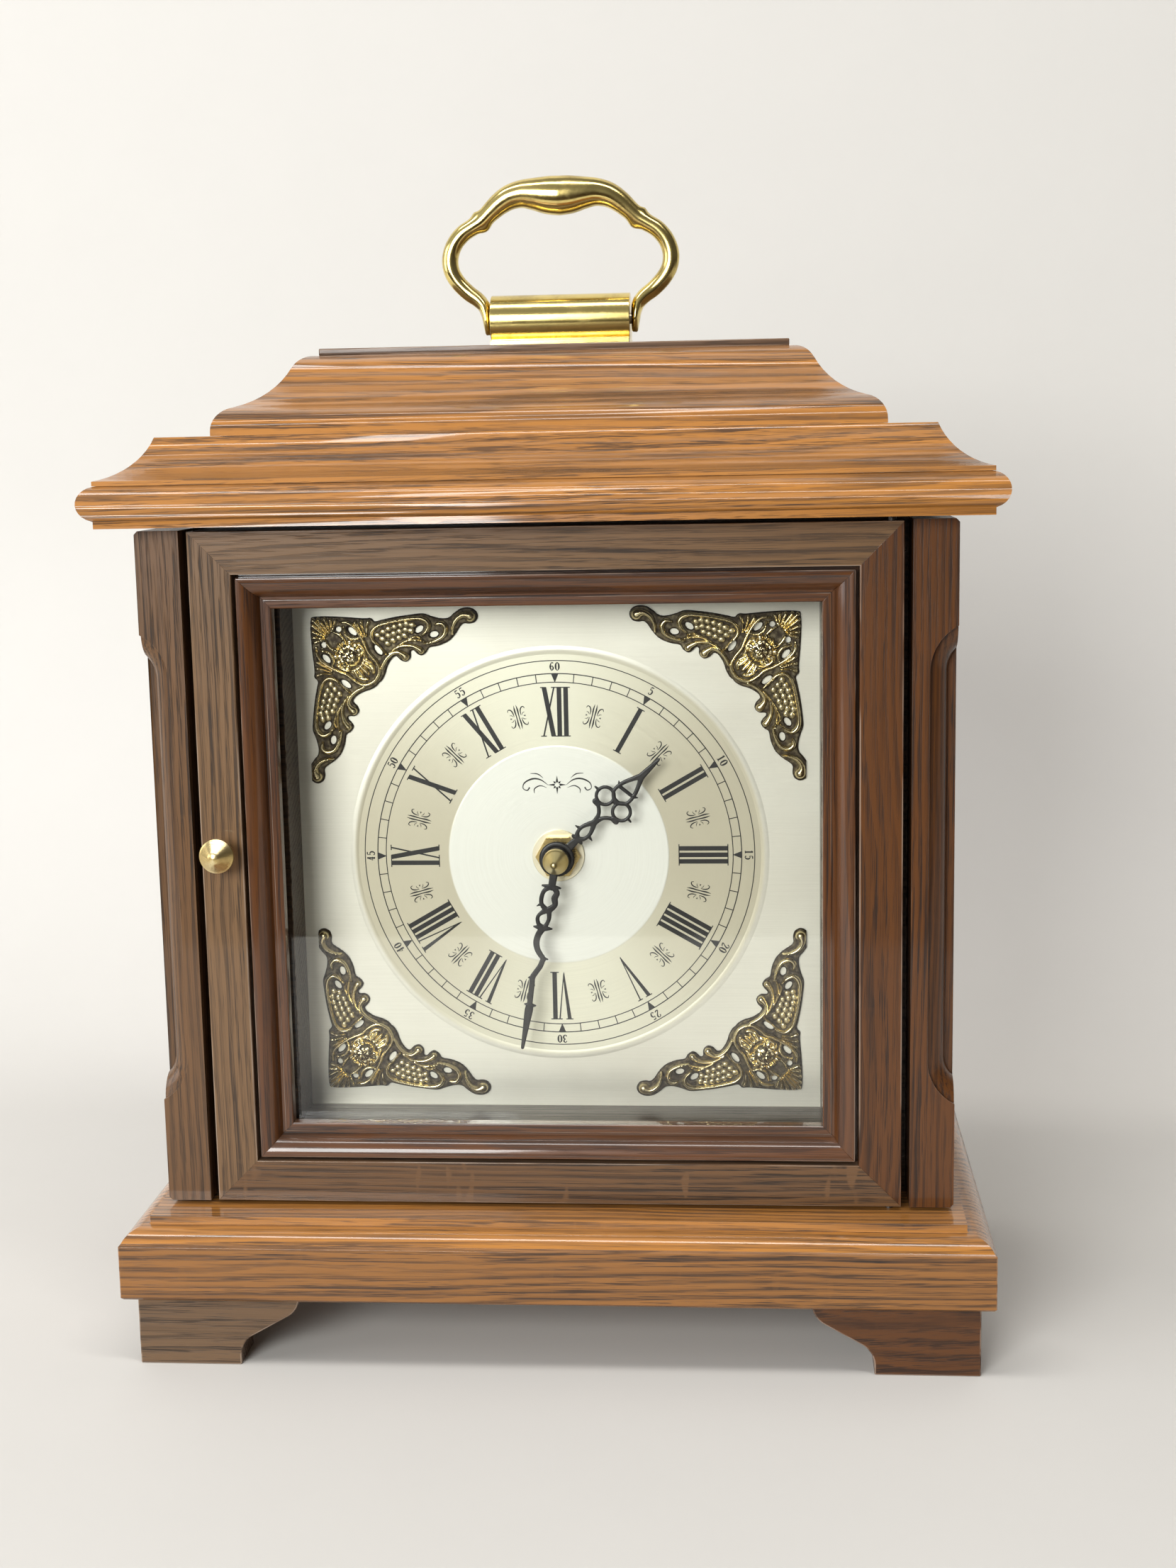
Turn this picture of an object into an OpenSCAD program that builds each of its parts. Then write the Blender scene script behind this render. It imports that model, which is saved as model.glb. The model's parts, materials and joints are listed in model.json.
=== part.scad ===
// Mantel clock: oak bracket case with a glazed front door, a square dial with cast
// corner pieces, a battery movement, bracket feet, a bell top and a hinged brass bail.
// Millimetres, +Z up, front towards -Y, origin at the middle of the footprint.

/* [Base] */
// Width of the base slab
base_w = 305; // [290:1:330]
// Depth of the base slab, front to back
base_d = 162; // [150:1:190]
// Height of the feet
foot_h = 25.5; // [18:0.5:40]
// Thickness of the base slab
slab_t = 20.5; // [15:0.5:30]
// Thickness of the moulded board on the slab
ogee_t = 7.2; // [6:0.2:10]

/* [Case] */
// Width over the case sides
case_w = 279; // [275:1:283]
// Depth of the case
case_d = 136; // [125:1:140]
// Height of the case sides
case_h = 239; // [236:1:245]
// Thickness of the case sides
side_t = 15.3; // [14:0.1:16]
// Ledge of the base in front of the case
front_ledge = 22; // [18:1:24]
// Open joint under and over the sides
shadow_gap = 1.3; // [1:0.1:2]

/* [Cap] */
// Height of the bell above the crown moulding
bell_h = 27.85; // [27.85:0.5:30]
// Thickness of the plate that carries the handle
plate_t = 2.5; // [2:0.1:4]

/* [Door] */
// Width of the flat door frame
rail_w = 14.8; // [14:0.1:16]
// Thickness of the door
door_t = 18; // [17:0.5:18]
// Gap round the door
door_gap = 2.8; // [2.5:0.1:3.5]
// Thickness of the glass
glass_t = 2; // [1.5:0.1:2.5]

/* [Dial] */
// Side of the square dial plate
dial_w = 200; // [195:1:205]
// Height of the dial centre above the table
dial_z = 172.5; // [171:0.5:175]
// Reading of the hands at rest, minutes past one
minutes_past = 31.75; // [0:0.25:59]

/* [Handle] */
// Length of the barrel
barrel_l = 52; // [48:1:60]
// Radius of the barrel
barrel_r = 9.4; // [8:0.1:10]
// Height of the bail above its pivots
bail_h = 45.4; // [42:0.2:50]

/* [Hidden] */

$fn = 48;
cut = 0.5;                                  // how far a cutting shape runs past a face
far = 400;                                  // larger than the clock

oak = "#8a5a2c";
oak_cap = "#a9692f";
oak_dark = "#6b4322";
brass = "#c9a545";
antique = "#8f7a48";
pale_gold = "#d8cda4";
black = "#1b1b1c";
steel = "#b9bcc0";

front = -base_d / 2 + front_ledge;          // front face of the case
back = front + case_d;
half_w = case_w / 2;
inner_x = half_w - side_t;                  // inner face of a case side
slab_z = foot_h;
board_z = slab_z + slab_t;
floor_z = board_z + ogee_t;
side_z = floor_z + shadow_gap;
side_top = side_z + case_h;
crown_z = side_top + shadow_gap;
crown_h = 30.3;
deck_t = 12;
bell_z = crown_z + crown_h;
plate_z = bell_z + bell_h;
plate_top = plate_z + plate_t;
panel_t = 13;                               // floor and ceiling boards
moulding_in = 34;                           // how far the crown reaches in over the case
bell_out = 22.4;                            // set-back of the bell's foot from the case face
plate_in = 55.1;                            // set-back of the top plate
bell_in = 62;

handle_y = (front + plate_in + back) / 2;
pivot_z = plate_top + 10.3;
pin_r = 2;
ear_r = 5;
ear_t = 2.9;
play = 0.05;                                // radial clearance of a turning fit

door_x = inner_x - door_gap;                // half width of the door
door_z = side_z + 0.1;
door_h = case_h - 0.6;
door_mid = door_z + door_h / 2;
sight_x = door_x - rail_w;                  // inner edge of the flat frame
sight_z = door_h / 2 - rail_w;
groove = 1.2;                               // open groove round the inner bead
bead_w = 12.2;
bead_d = 11;
hinge_x = door_x - 4;                       // vertical axis of the front door
hinge_y = front + 4;
hinge_r = 1.5;
hinge_l = 7;
knob_x = -(door_x - rail_w / 2);
knob_z = 182;

surround_y = front + door_t + 1.5;
dial_y = front + 39;                        // front face of the dial
sight_half = 94.4;                          // half the opening in front of the dial
dial_t = 1.2;
wall = 1.4;                                 // movement housing
move_w = 56;
move_d = 16;
thread_r = 4.8;
tube_r = 2.6;
arbor_r = 1.7;
hour_level = 6.8;                           // heights in front of the dial
minute_level = 9.6;
hand_t = 0.7;
hour_l = 52;                                // from the centre to the tip
minute_l = 71.5;
nut_hold = 2.3;                             // how far the arbor reaches into the hand nut
minute_angle = minutes_past * 6;
hour_angle = 30 + minutes_past / 2;

cannon_teeth = 12;                          // turns with the minute hand
motion_teeth = 36;
motion_pinion = 10;
hour_teeth = 40;
set_teeth = 16;
motion_mod = 0.5;
arbor_gap = motion_mod * (cannon_teeth + motion_teeth) / 2;
hour_mod = 2 * arbor_gap / (motion_pinion + hour_teeth);
set_gap = motion_mod * (set_teeth + motion_teeth) / 2;

back_t = 5;
back_y = back - back_t - 0.5;
back_half = inner_x - 1.5;
back_z = floor_z + panel_t + 1.2;
back_h = crown_z - floor_z - 2 * panel_t - 2.4;
back_axis_x = -(back_half - 3.7);
back_pin_r = 1.25;

// ---------------------------------------------------------------- outlines

function arc(c, r, from, to, n = 8) =
    [for (i = [0:n]) let (a = from + (to - from) * i / n) c + r * [cos(a), sin(a)]];

// Crown moulding: fillet, torus, step and cove, as distance out from the case and height
crown_outline = concat(
    [[-moulding_in, 0], [10.6, 0], [10.6, 2.4]],
    arc([9, 8.3], 6, -70, 90, 12),
    [[10.4, 14.3], [10.4, 15.9]],
    arc([14.6, 38.6], 23.1, 259.5, 201.5, 10),
    [[-moulding_in, crown_h]]);

// Bell: fillet, round nose, hollow and upper round
bell_outline = concat(
    [[-bell_in, 0], [-bell_out, 0]],
    arc([-bell_out - 8.5, 1.5], 8.5, 0, 78, 8),
    arc([-22.5, 36.5], 27.5, 255, 208, 8),
    arc([-53.9, bell_h - 8], 8, 28, 90, 7),
    [[-bell_in, bell_h]]);

// Edge of the base board: ledge, fillet and ovolo
board_outline = concat(
    [[-40, 0], [12.2, 0]],
    arc([4.9, -3.6], 8.1, 27, 90, 7),
    [[4, 4.5], [3.6, 4.9], [3.6, ogee_t], [-40, ogee_t]]);

// Sight bead of the door: distance in from the frame, and height over the bead's back
bead_outline = concat(
    [[0, 0], [0, 5], [groove, 5], [groove, bead_d - 1.1]],
    arc([1.9, 4.4], 5.9, 96, 12, 8),
    [[8.2, 4.2], [9.2, 4.2], [9.2, 4.9], [bead_w - 0.4, 4.9], [bead_w, 4.5], [bead_w, 0]]);

// Bracket foot: upper round, slope and lower hollow on its inner end
foot_top = 58;
foot_base = 36.5;
foot_lobe = 8.5;
foot_outline = concat(
    [[0, foot_h], [0, 0], [foot_base, 0]],
    arc([foot_base + foot_lobe, 3.5], foot_lobe, 180, 115, 6),
    arc([foot_top - foot_lobe, foot_h], foot_lobe, -65, 0, 6));
foot_t = 18;
foot_set = 4.7;                             // set-back of the feet under the slab

// ---------------------------------------------------------------- helpers

// A moulding along the front, from its outline
module front_run(outline, z, half) {
    translate([-half, front, z]) rotate([90, 0, 90])
        linear_extrude(2 * half) mirror([1, 0]) polygon(outline);
}

// The same moulding along the right side
module side_run(outline, z, y_end) {
    translate([half_w, y_end, z]) rotate([90, 0, 0])
        linear_extrude(y_end - front + 40) polygon(outline);
}

// Everything past the mitre line at the front right corner
module past_mitre(z) {
    translate([half_w, front, z]) rotate([0, 0, 45])
        translate([0, -far, -cut]) cube([far, 2 * far, 60]);
}

module mitred_front(outline, z) {
    difference() {
        front_run(outline, z, half_w + 30);
        past_mitre(z);
        mirror([1, 0, 0]) past_mitre(z);
    }
}

module mitred_side(outline, z, y_end = back) {
    intersection() {
        side_run(outline, z, y_end);
        past_mitre(z);
    }
}

// Shapes drawn on the dial's face: x right, y up, z towards the viewer
module on_dial(level = 0) {
    translate([0, dial_y - level, dial_z]) rotate([90, 0, 0]) children();
}

// Spur wheel with straight-sided teeth, one tooth on the x axis
module wheel(teeth, mod, thick, bore) {
    r = teeth * mod / 2;
    root = -1.25;
    tip = 0.8;
    flank = [[-1.15, root], [-0.66, 0], [-0.3, tip], [0.3, tip], [0.66, 0], [1.15, root]];
    function tooth(a) = [for (p = flank) let (b = a + p[0] * 90 / teeth)
        (r + p[1] * mod) * [cos(b), sin(b)]];
    linear_extrude(thick) difference() {
        polygon([for (i = [0:teeth - 1]) each tooth(i * 360 / teeth)]);
        if (bore > 0) circle(r = bore);
    }
}

module ring_disc(r_out, r_in, h) {
    difference() {
        cylinder(r = r_out, h = h);
        translate([0, 0, -cut]) cylinder(r = r_in, h = h + 2 * cut);
    }
}

// ---------------------------------------------------------------- base

// Cross-section of the slab with eased edges, centred on its length
module slab_section(length) {
    soft = 0.9;
    polygon([[soft - length / 2, 0], [length / 2 - soft, 0], [length / 2, soft],
        [length / 2, slab_t - soft], [length / 2 - soft, slab_t],
        [soft - length / 2, slab_t], [-length / 2, slab_t - soft], [-length / 2, soft]]);
}

module base_slab() {
    color(oak) translate([0, 0, slab_z]) intersection() {
        translate([0, base_d / 2, 0]) rotate([90, 0, 0]) linear_extrude(base_d)
            slab_section(base_w);
        translate([-base_w / 2, 0, 0]) rotate([90, 0, 90]) linear_extrude(base_w)
            slab_section(base_d);
    }
}

module base_board() {
    color(oak_cap) difference() {
        union() {
            difference() {
                translate([0, -9, 0]) front_run(board_outline, board_z, half_w + 30);
                translate([0, -9, 0]) past_mitre(board_z);
                translate([0, -9, 0]) mirror([1, 0, 0]) past_mitre(board_z);
            }
            for (m = [0, 1]) mirror([m, 0, 0]) intersection() {
                side_run(board_outline, board_z, back);
                translate([0, -9, 0]) past_mitre(board_z);
            }
            translate([-half_w + 20, front + 10, board_z])
                cube([case_w - 40, case_d - 10, ogee_t]);
        }
        translate([hinge_x, hinge_y, floor_z - hinge_l]) cylinder(r = hinge_r, h = hinge_l + cut);
    }
}

// A foot: a front or back bracket and a side bracket, mitred into one solid
module foot(y_sign) {
    x = base_w / 2 - foot_set;
    y = base_d / 2 - foot_set;
    module bracket() linear_extrude(foot_t) polygon(foot_outline);
    color(oak) mirror([0, y_sign > 0 ? 0 : 1, 0]) {
        translate([x, y - foot_t, 0]) rotate([90, 0, 180]) bracket();
        translate([x, y, 0]) rotate([90, 0, -90]) bracket();
    }
}

module foot_front_left() {
    mirror([1, 0, 0]) foot(-1);
}

module foot_front_right() {
    foot(-1);
}

module foot_back_left() {
    mirror([1, 0, 0]) foot(1);
}

module foot_back_right() {
    foot(1);
}

// ---------------------------------------------------------------- case

// Router cut on the outer front corner of a side, running out at both ends
module stopped_cut() {
    bearing = 8;
    leg = 9.4;
    depth = 9;
    ridge = 3.9;
    low = side_z + 53;
    high = side_top - 51;
    profile = concat([[0, -cut], [bearing + leg, -cut], [bearing + leg, 1.9]],
        arc([bearing + leg + 0.6, depth], 7.1, 265, 180, 8),
        [[bearing + ridge, depth - 0.9], [bearing + ridge, depth], [0, depth]]);
    translate([half_w + bearing, front, 0]) {
        for (end = [[low, 90], [high, 180]]) translate([0, 0, end[0]]) rotate([-90, 0, 0])
            rotate_extrude(angle = 90, start = end[1]) polygon(profile);
        translate([0, 0, low]) linear_extrude(high - low) mirror([1, 0]) polygon(profile);
    }
}

module side_board() {
    ease = 1.2;
    difference() {
        translate([inner_x, front, side_z]) cube([side_t, case_d, case_h]);
        stopped_cut();
        for (z = [side_z, side_top]) translate([half_w, front - cut, z]) rotate([0, 45, 0])
            translate([-ease / sqrt(2), 0, -ease / sqrt(2)])
                cube([ease * sqrt(2), case_d + 2 * cut, ease * sqrt(2)]);
    }
}

module case_side_right() {
    color(oak_dark) side_board();
}

module case_side_left() {
    color(oak_dark) mirror([1, 0, 0]) side_board();
}

// Floor and ceiling stand past the ends of the sides and leave the open joint
module panel(z) {
    color(oak_dark) difference() {
        translate([-inner_x, surround_y, z]) cube([2 * inner_x, back - surround_y, panel_t]);
        translate([back_axis_x, back_y + back_t / 2, z - cut])
            cylinder(r = back_pin_r, h = panel_t + 2 * cut);
    }
}

module case_floor() {
    panel(floor_z);
}

module case_ceiling() {
    panel(crown_z - panel_t);
}

// ---------------------------------------------------------------- cap

module crown_front() {
    color(oak_cap) difference() {
        mitred_front(crown_outline, crown_z);
        translate([hinge_x, hinge_y, crown_z - cut]) cylinder(r = hinge_r, h = hinge_l + cut);
    }
}

module crown_right() {
    color(oak_cap) mitred_side(crown_outline, crown_z);
}

module crown_left() {
    color(oak_cap) mirror([1, 0, 0]) mitred_side(crown_outline, crown_z);
}

// Board inside the crown, with a rail that closes the crown at the back
module crown_deck() {
    width = case_w - 2 * moulding_in;
    color(oak_cap) union() {
        translate([-width / 2, front + moulding_in, bell_z - deck_t])
            cube([width, case_d - moulding_in, deck_t]);
        translate([-width / 2, back - deck_t, crown_z]) cube([width, deck_t, crown_h - deck_t / 2]);
    }
}

module bell_front() {
    color(oak_cap) mitred_front(bell_outline, bell_z);
}

module bell_right() {
    color(oak_cap) mitred_side(bell_outline, bell_z);
}

module bell_left() {
    color(oak_cap) mirror([1, 0, 0]) mitred_side(bell_outline, bell_z);
}

module bell_core() {
    color(oak_cap) translate([bell_in - half_w, front + bell_in, bell_z])
        cube([case_w - 2 * bell_in, case_d - bell_in, bell_h]);
}

module top_plate() {
    color(oak_cap) translate([plate_in - half_w, front + plate_in, plate_z])
        cube([case_w - 2 * plate_in, case_d - plate_in, plate_t]);
}

// ---------------------------------------------------------------- handle

module at_pivot() {
    translate([0, handle_y, pivot_z]) children();
}

module handle_base() {
    flange_h = 2.8;
    down = pivot_z - plate_top;
    color(brass) at_pivot() difference() {
        translate([-barrel_l / 2, 0, 0]) rotate([90, 0, 90]) linear_extrude(barrel_l) union() {
            circle(r = barrel_r);
            translate([-barrel_r - 0.6, -down]) square([2 * barrel_r + 1.2, flange_h]);
            translate([3 - barrel_r, -down]) square([2 * barrel_r - 6, down]);
        }
        for (s = [-1, 1]) translate([s * (barrel_l / 2 - 4), 0, 0]) rotate([0, 90, 0])
            cylinder(r = pin_r, h = 8 + 2 * cut, center = true);
    }
}

// Centre line of half the bail from its crown to the ear: x, height and radius
bail_line = [[0, bail_h, 7.2], [9.5, bail_h + 0.4, 6], [18, bail_h - 0.6, 4.6],
    [24.5, bail_h - 4, 3.8], [30, bail_h - 8.8, 3.3], [36, bail_h - 12.8, 3.1],
    [40.4, bail_h - 18, 3.1], [41, bail_h - 23.5, 3.1], [39.4, bail_h - 29, 3],
    [34.5, bail_h - 34.6, 2.9], [29.2, bail_h - 39, 2.7], [27.6, bail_h - 43.4, 2.2]];

module handle_bail() {
    ear_x = barrel_l / 2 + 0.1;
    color(brass) at_pivot() difference() {
        for (m = [0, 1]) mirror([m, 0, 0]) for (i = [0:len(bail_line) - 2]) hull()
            for (p = [bail_line[i], bail_line[i + 1]])
                translate([p[0], 0, p[1]]) sphere(r = p[2], $fn = 20);
        for (m = [0, 1]) mirror([m, 0, 0]) {
            translate([ear_x - 10, -ear_r, -ear_r]) cube([10 + ear_t, 2 * ear_r, 14]);
            translate([ear_x - 8, -far / 2, -far / 2]) cube([8, far, far / 2 + 9]);
        }
    }
}

module handle_ears() {
    color(brass) at_pivot() for (m = [0, 1]) mirror([m, 0, 0])
        translate([barrel_l / 2 + 0.1, 0, 0]) rotate([0, 90, 0]) linear_extrude(ear_t)
            difference() {
                union() {
                    circle(r = ear_r);
                    translate([-9, -ear_r]) square([9, 2 * ear_r]);
                }
                circle(r = pin_r + play);
            }
}

module handle_pins() {
    color(steel) at_pivot() for (s = [-1, 1])
        translate([s * (barrel_l / 2 - 2), 0, 0]) rotate([0, 90, 0])
            cylinder(r = pin_r, h = 2 * (ear_t + 2.1), center = true);
}

// ---------------------------------------------------------------- door

// One side of a mitred frame in the plane of the door, seen from the front
module mitred_bar(half_len, width) {
    polygon([[-half_len, 0], [half_len, 0], [half_len - width, width], [width - half_len, width]]);
}

// Four places of a mitred frame: 0 bottom, 1 right, 2 top, 3 left
module frame_side(i, z, half_x, half_z) {
    turn = i * 90;
    reach = i % 2 == 0 ? half_z : half_x;
    translate([0, front, z]) rotate([0, -turn, 0]) translate([0, 0, -reach]) children();
}

module door_bar(i) {
    half_len = i % 2 == 0 ? door_x : door_h / 2;
    color(oak) difference() {
        frame_side(i, door_mid, door_x, door_h / 2)
            translate([0, door_t, 0]) rotate([90, 0, 0])
                linear_extrude(door_t) mitred_bar(half_len, rail_w);
        for (z = [door_z - cut, door_z + door_h - hinge_l]) translate([hinge_x, hinge_y, z])
            cylinder(r = hinge_r + 1, h = hinge_l + cut);
        translate([knob_x, front - cut, knob_z]) rotate([-90, 0, 0])
            cylinder(r = 1.6, h = door_t - 6);
        translate([knob_x, front + door_t, knob_z - 30]) cube([9, 3, 22], center = true);
    }
}

module door_stile_left() {
    door_bar(3);
}

module door_stile_right() {
    door_bar(1);
}

module door_rail_top() {
    door_bar(2);
}

module door_rail_bottom() {
    door_bar(0);
}

// A sight bead with mitred ends; its outline faces the middle of the door
module door_bead(i) {
    half_len = i % 2 == 0 ? sight_x : sight_z;
    color(oak) intersection() {
        frame_side(i, door_mid, sight_x, sight_z) translate([-half_len, bead_d, 0])
            rotate([90, 0, 90]) linear_extrude(2 * half_len)
                polygon([for (p = bead_outline) [-p[1], p[0]]]);
        frame_side(i, door_mid, sight_x, sight_z) translate([0, bead_d + 1, 0])
            rotate([90, 0, 0]) linear_extrude(bead_d + 2) mitred_bar(half_len, bead_w + 2);
    }
}

module door_bead_left() {
    door_bead(3);
}

module door_bead_right() {
    door_bead(1);
}

module door_bead_top() {
    door_bead(2);
}

module door_bead_bottom() {
    door_bead(0);
}

module door_glass() {
    inset = 0.8;
    color("lightcyan", 0.3) translate([inset - sight_x, front + bead_d, door_mid + inset - sight_z])
        cube([2 * (sight_x - inset), glass_t, 2 * (sight_z - inset)]);
}

module glass_stops() {
    stop_w = 8;
    stop_t = 4;
    y = front + bead_d + glass_t;
    color(oak_dark) difference() {
        translate([-sight_x, y, door_mid - sight_z]) cube([2 * sight_x, stop_t, 2 * sight_z]);
        translate([stop_w - sight_x, y - cut, door_mid + stop_w - sight_z])
            cube([2 * (sight_x - stop_w), stop_t + 2 * cut, 2 * (sight_z - stop_w)]);
    }
}

// Shallow cone on a stem, with a screw spigot into the stile
module door_knob() {
    color(brass) translate([knob_x, front, knob_z]) rotate([90, 0, 0]) union() {
        rotate_extrude() polygon([[0, 0], [3.6, 0], [3.6, 0.8], [2.4, 1.6], [2.3, 5.4],
            [4.4, 6.6], [6.1, 7.2], [6.1, 8.4], [5.4, 8.9], [2.2, 12.4], [0, 13.4]]);
        translate([0, 0, -8]) cylinder(r = 1.6, h = 8.5);
    }
}

module door_bushes() {
    color(brass) for (z = [door_z, door_z + door_h - hinge_l])
        translate([hinge_x, hinge_y, z]) ring_disc(hinge_r + 1, hinge_r + play, hinge_l);
}

module door_pins() {
    reach = hinge_l - 0.5;
    color(steel) {
        translate([hinge_x, hinge_y, floor_z - hinge_l])
            cylinder(r = hinge_r, h = hinge_l + door_z - floor_z + reach);
        translate([hinge_x, hinge_y, door_z + door_h - reach])
            cylinder(r = hinge_r, h = crown_z - door_z - door_h + reach + hinge_l);
    }
}

module door_strike() {
    color(steel) translate([knob_x, front + door_t - 0.75, knob_z - 30])
        cube([9, 1.5, 22], center = true);
}

module door_magnet() {
    color(black) translate([knob_x, surround_y + 3, knob_z - 30]) cube([9, 6.8, 22], center = true);
}

// ---------------------------------------------------------------- dial

module dial_surround() {
    z0 = floor_z + panel_t;
    color("#3a2413") difference() {
        translate([-inner_x, surround_y, z0])
            cube([2 * inner_x, dial_y - surround_y, crown_z - panel_t - z0]);
        translate([-sight_half, surround_y - cut, dial_z - sight_half])
            cube([2 * sight_half, far / 4, 2 * sight_half]);
        translate([knob_x, surround_y + 3, knob_z - 30]) cube([9, 6.8, 22], center = true);
    }
}

module dial_plate() {
    color(pale_gold) on_dial() translate([0, 0, -dial_t]) difference() {
        translate([-dial_w / 2, -dial_w / 2, 0]) cube([dial_w, dial_w, dial_t]);
        translate([0, 0, -cut]) cylinder(r = thread_r, h = dial_t + 2 * cut);
    }
}

// Pierced corner casting: a fan, a head and a scrolled arm each way
module spandrel() {
    arm = 61;
    corner = 88;                             // from the dial centre to the outer edges
    thick = 1.6;
    color(antique) on_dial() translate([-corner, corner, 0]) mirror([0, 1, 0]) difference() {
        union() {
            linear_extrude(thick) polygon(concat([[1, 1], [28, 2]], arc([4, 4], 25, 0, 90, 8), [[2, 28]]));
            for (m = [0, 1]) mirror([m, -m]) {
                linear_extrude(thick)
                    polygon([[14, 1], [38, 2.5], [arm - 4, 4], [arm - 4, 8], [42, 11], [20, 22]]);
                translate([arm - 3, 5]) cylinder(r = 3, h = thick);
                translate([43, 11]) cylinder(r = 4, h = thick);
            }
            translate([15, 15, 0]) cylinder(r1 = 9, r2 = 6, h = 5);
        }
        for (m = [0, 1]) mirror([m, -m]) for (p = [[47, 6.5, 1.3], [36, 6.5, 2]])
            translate([p[0], p[1], -cut]) cylinder(r = p[2], h = thick + 2 * cut);
    }
}

module spandrel_top_left() {
    spandrel();
}

module spandrel_top_right() {
    mirror([1, 0, 0]) spandrel();
}

module spandrel_bottom_left() {
    translate([0, 0, 2 * dial_z]) mirror([0, 0, 1]) spandrel();
}

module spandrel_bottom_right() {
    translate([0, 0, 2 * dial_z]) mirror([0, 0, 1]) mirror([1, 0, 0]) spandrel();
}

// ---------------------------------------------------------------- movement

// The housing lies behind the dial: level 0 is the dial's back face
module behind_dial() {
    on_dial(-dial_t) children();
}

module movement_case() {
    depth = 10;
    color(black) behind_dial() difference() {
        union() {
            translate([-move_w / 2, -move_w / 2, -depth]) cube([move_w, move_w, depth]);
            translate([0, 0, -wall]) cylinder(r = thread_r, h = wall + dial_t + 4.4);
        }
        translate([wall - move_w / 2, wall - move_w / 2, -depth - cut])
            cube([move_w - 2 * wall, move_w - 2 * wall, depth - wall + cut]);
        translate([0, 0, -depth]) cylinder(r = tube_r + play, h = far / 4);
    }
}

// Rear half of the housing, open below for the cell
module movement_cover() {
    top = 10;
    bay = 18;
    color(black) behind_dial() difference() {
        translate([-move_w / 2, -move_w / 2, -move_d]) cube([move_w, move_w, move_d - top]);
        translate([wall - move_w / 2, bay - move_w / 2, -move_d + wall])
            cube([move_w - 2 * wall, move_w - bay - wall, move_d]);
        translate([wall - move_w / 2, wall - move_w / 2, -move_d - cut])
            cube([move_w - 2 * wall, bay - 2 * wall, move_d]);
        translate([0, 0, -far / 8]) cylinder(r = arbor_r + play, h = far / 8);
        translate([-set_gap, arbor_gap, -far / 8]) cylinder(r = 1.5 + play, h = far / 8);
        translate([0, arbor_gap, -far / 8]) cylinder(r = 0.8 + play, h = far / 8);
    }
}

module battery() {
    color("#40464c") behind_dial() translate([0, -19.5, -8.9]) rotate([0, 90, 0]) union() {
        cylinder(r = 7, h = 49, center = true);
        cylinder(r = 2.6, h = 51, center = true);
    }
}

module circuit_board() {
    color("darkgreen") behind_dial() union() {
        translate([8, -9, wall - move_d]) cube([17, 32, 1.2]);
        translate([17, -4, wall - move_d + 1.2]) cube([6, 20, 5]);
    }
}

module mounting_nut() {
    color(brass) on_dial(0.8) linear_extrude(2.4) difference() {
        circle(r = 8.2, $fn = 6);
        circle(r = thread_r);
    }
}

module dial_washer() {
    color(brass) on_dial() ring_disc(9.5, thread_r, 0.8);
}

module hour_wheel() {
    color(brass) behind_dial() difference() {
        union() {
            translate([0, 0, -3.4]) rotate(90) wheel(hour_teeth, hour_mod, 1.2, 0);
            translate([0, 0, -3.4]) cylinder(r = tube_r, h = 3.4 + dial_t + hour_level + hand_t);
        }
        translate([0, 0, -5]) cylinder(r = arbor_r + play, h = far / 4);
    }
}

module minute_arbor() {
    color(steel) behind_dial() {
        translate([0, 0, 0.5 - move_d])
            cylinder(r = arbor_r, h = move_d + dial_t + minute_level + hand_t + nut_hold - 0.5);
        translate([0, 0, -5.6]) rotate(90) wheel(cannon_teeth, motion_mod, 1.6, arbor_r);
        translate([0, 0, -7.2]) wheel(48, 0.4, 0.8, arbor_r);
    }
}

module motion_wheel() {
    color(brass) behind_dial() translate([0, arbor_gap, 0]) {
        translate([0, 0, -5.3]) rotate(5) wheel(motion_teeth, motion_mod, 1, 0.8);
        translate([0, 0, -4.3]) wheel(motion_pinion, hour_mod, 2.2, 0.8);
        translate([0, 0, -move_d + 0.4]) cylinder(r = 0.8, h = move_d - wall - 0.5);
    }
}

module set_knob() {
    color(black) behind_dial() translate([-set_gap, arbor_gap, 0]) union() {
        translate([0, 0, -5.4]) wheel(set_teeth, motion_mod, 1.2, 0);
        translate([0, 0, -move_d - 1]) cylinder(r = 1.5, h = move_d - 4);
        translate([0, 0, -move_d - 5]) cylinder(r = 6.5, h = 4);
    }
}

// ---------------------------------------------------------------- hands

// A hand's blade from one edge: half width and distance along it
module blade(edge) {
    linear_extrude(hand_t) polygon(concat(
        [for (p = edge) [-p[0], p[1]]],
        [for (i = [len(edge) - 1:-1:0]) edge[i]]));
}

module hour_hand() {
    color(black) on_dial(hour_level) rotate(-hour_angle) difference() {
        union() {
            cylinder(r = 6.6, h = hand_t);
            blade([[2.4, 4], [1.6, 14], [2.4, 26], [2.6, 36], [0.4, hour_l]]);
            for (s = [-1, 1]) translate([s * 5.6, 26]) cylinder(r = 4.2, h = hand_t);
        }
        translate([0, 0, -cut]) cylinder(r = tube_r, h = hand_t + 2 * cut);
        for (s = [-1, 1]) translate([s * 5.6, 26, -cut]) cylinder(r = 2.2, h = hand_t + 2 * cut);
    }
}

module minute_hand() {
    color(black) on_dial(minute_level) rotate(-minute_angle) difference() {
        union() {
            cylinder(r = 4.6, h = hand_t);
            blade([[2, 3], [1.4, 14], [3.2, 20], [1.6, 28], [3, 34], [1.4, 42], [0.4, minute_l]]);
        }
        translate([0, 0, -cut]) cylinder(r = arbor_r, h = hand_t + 2 * cut);
        for (y = [20, 34]) translate([0, y, -cut]) cylinder(r = 1.3, h = hand_t + 2 * cut);
    }
}

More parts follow.
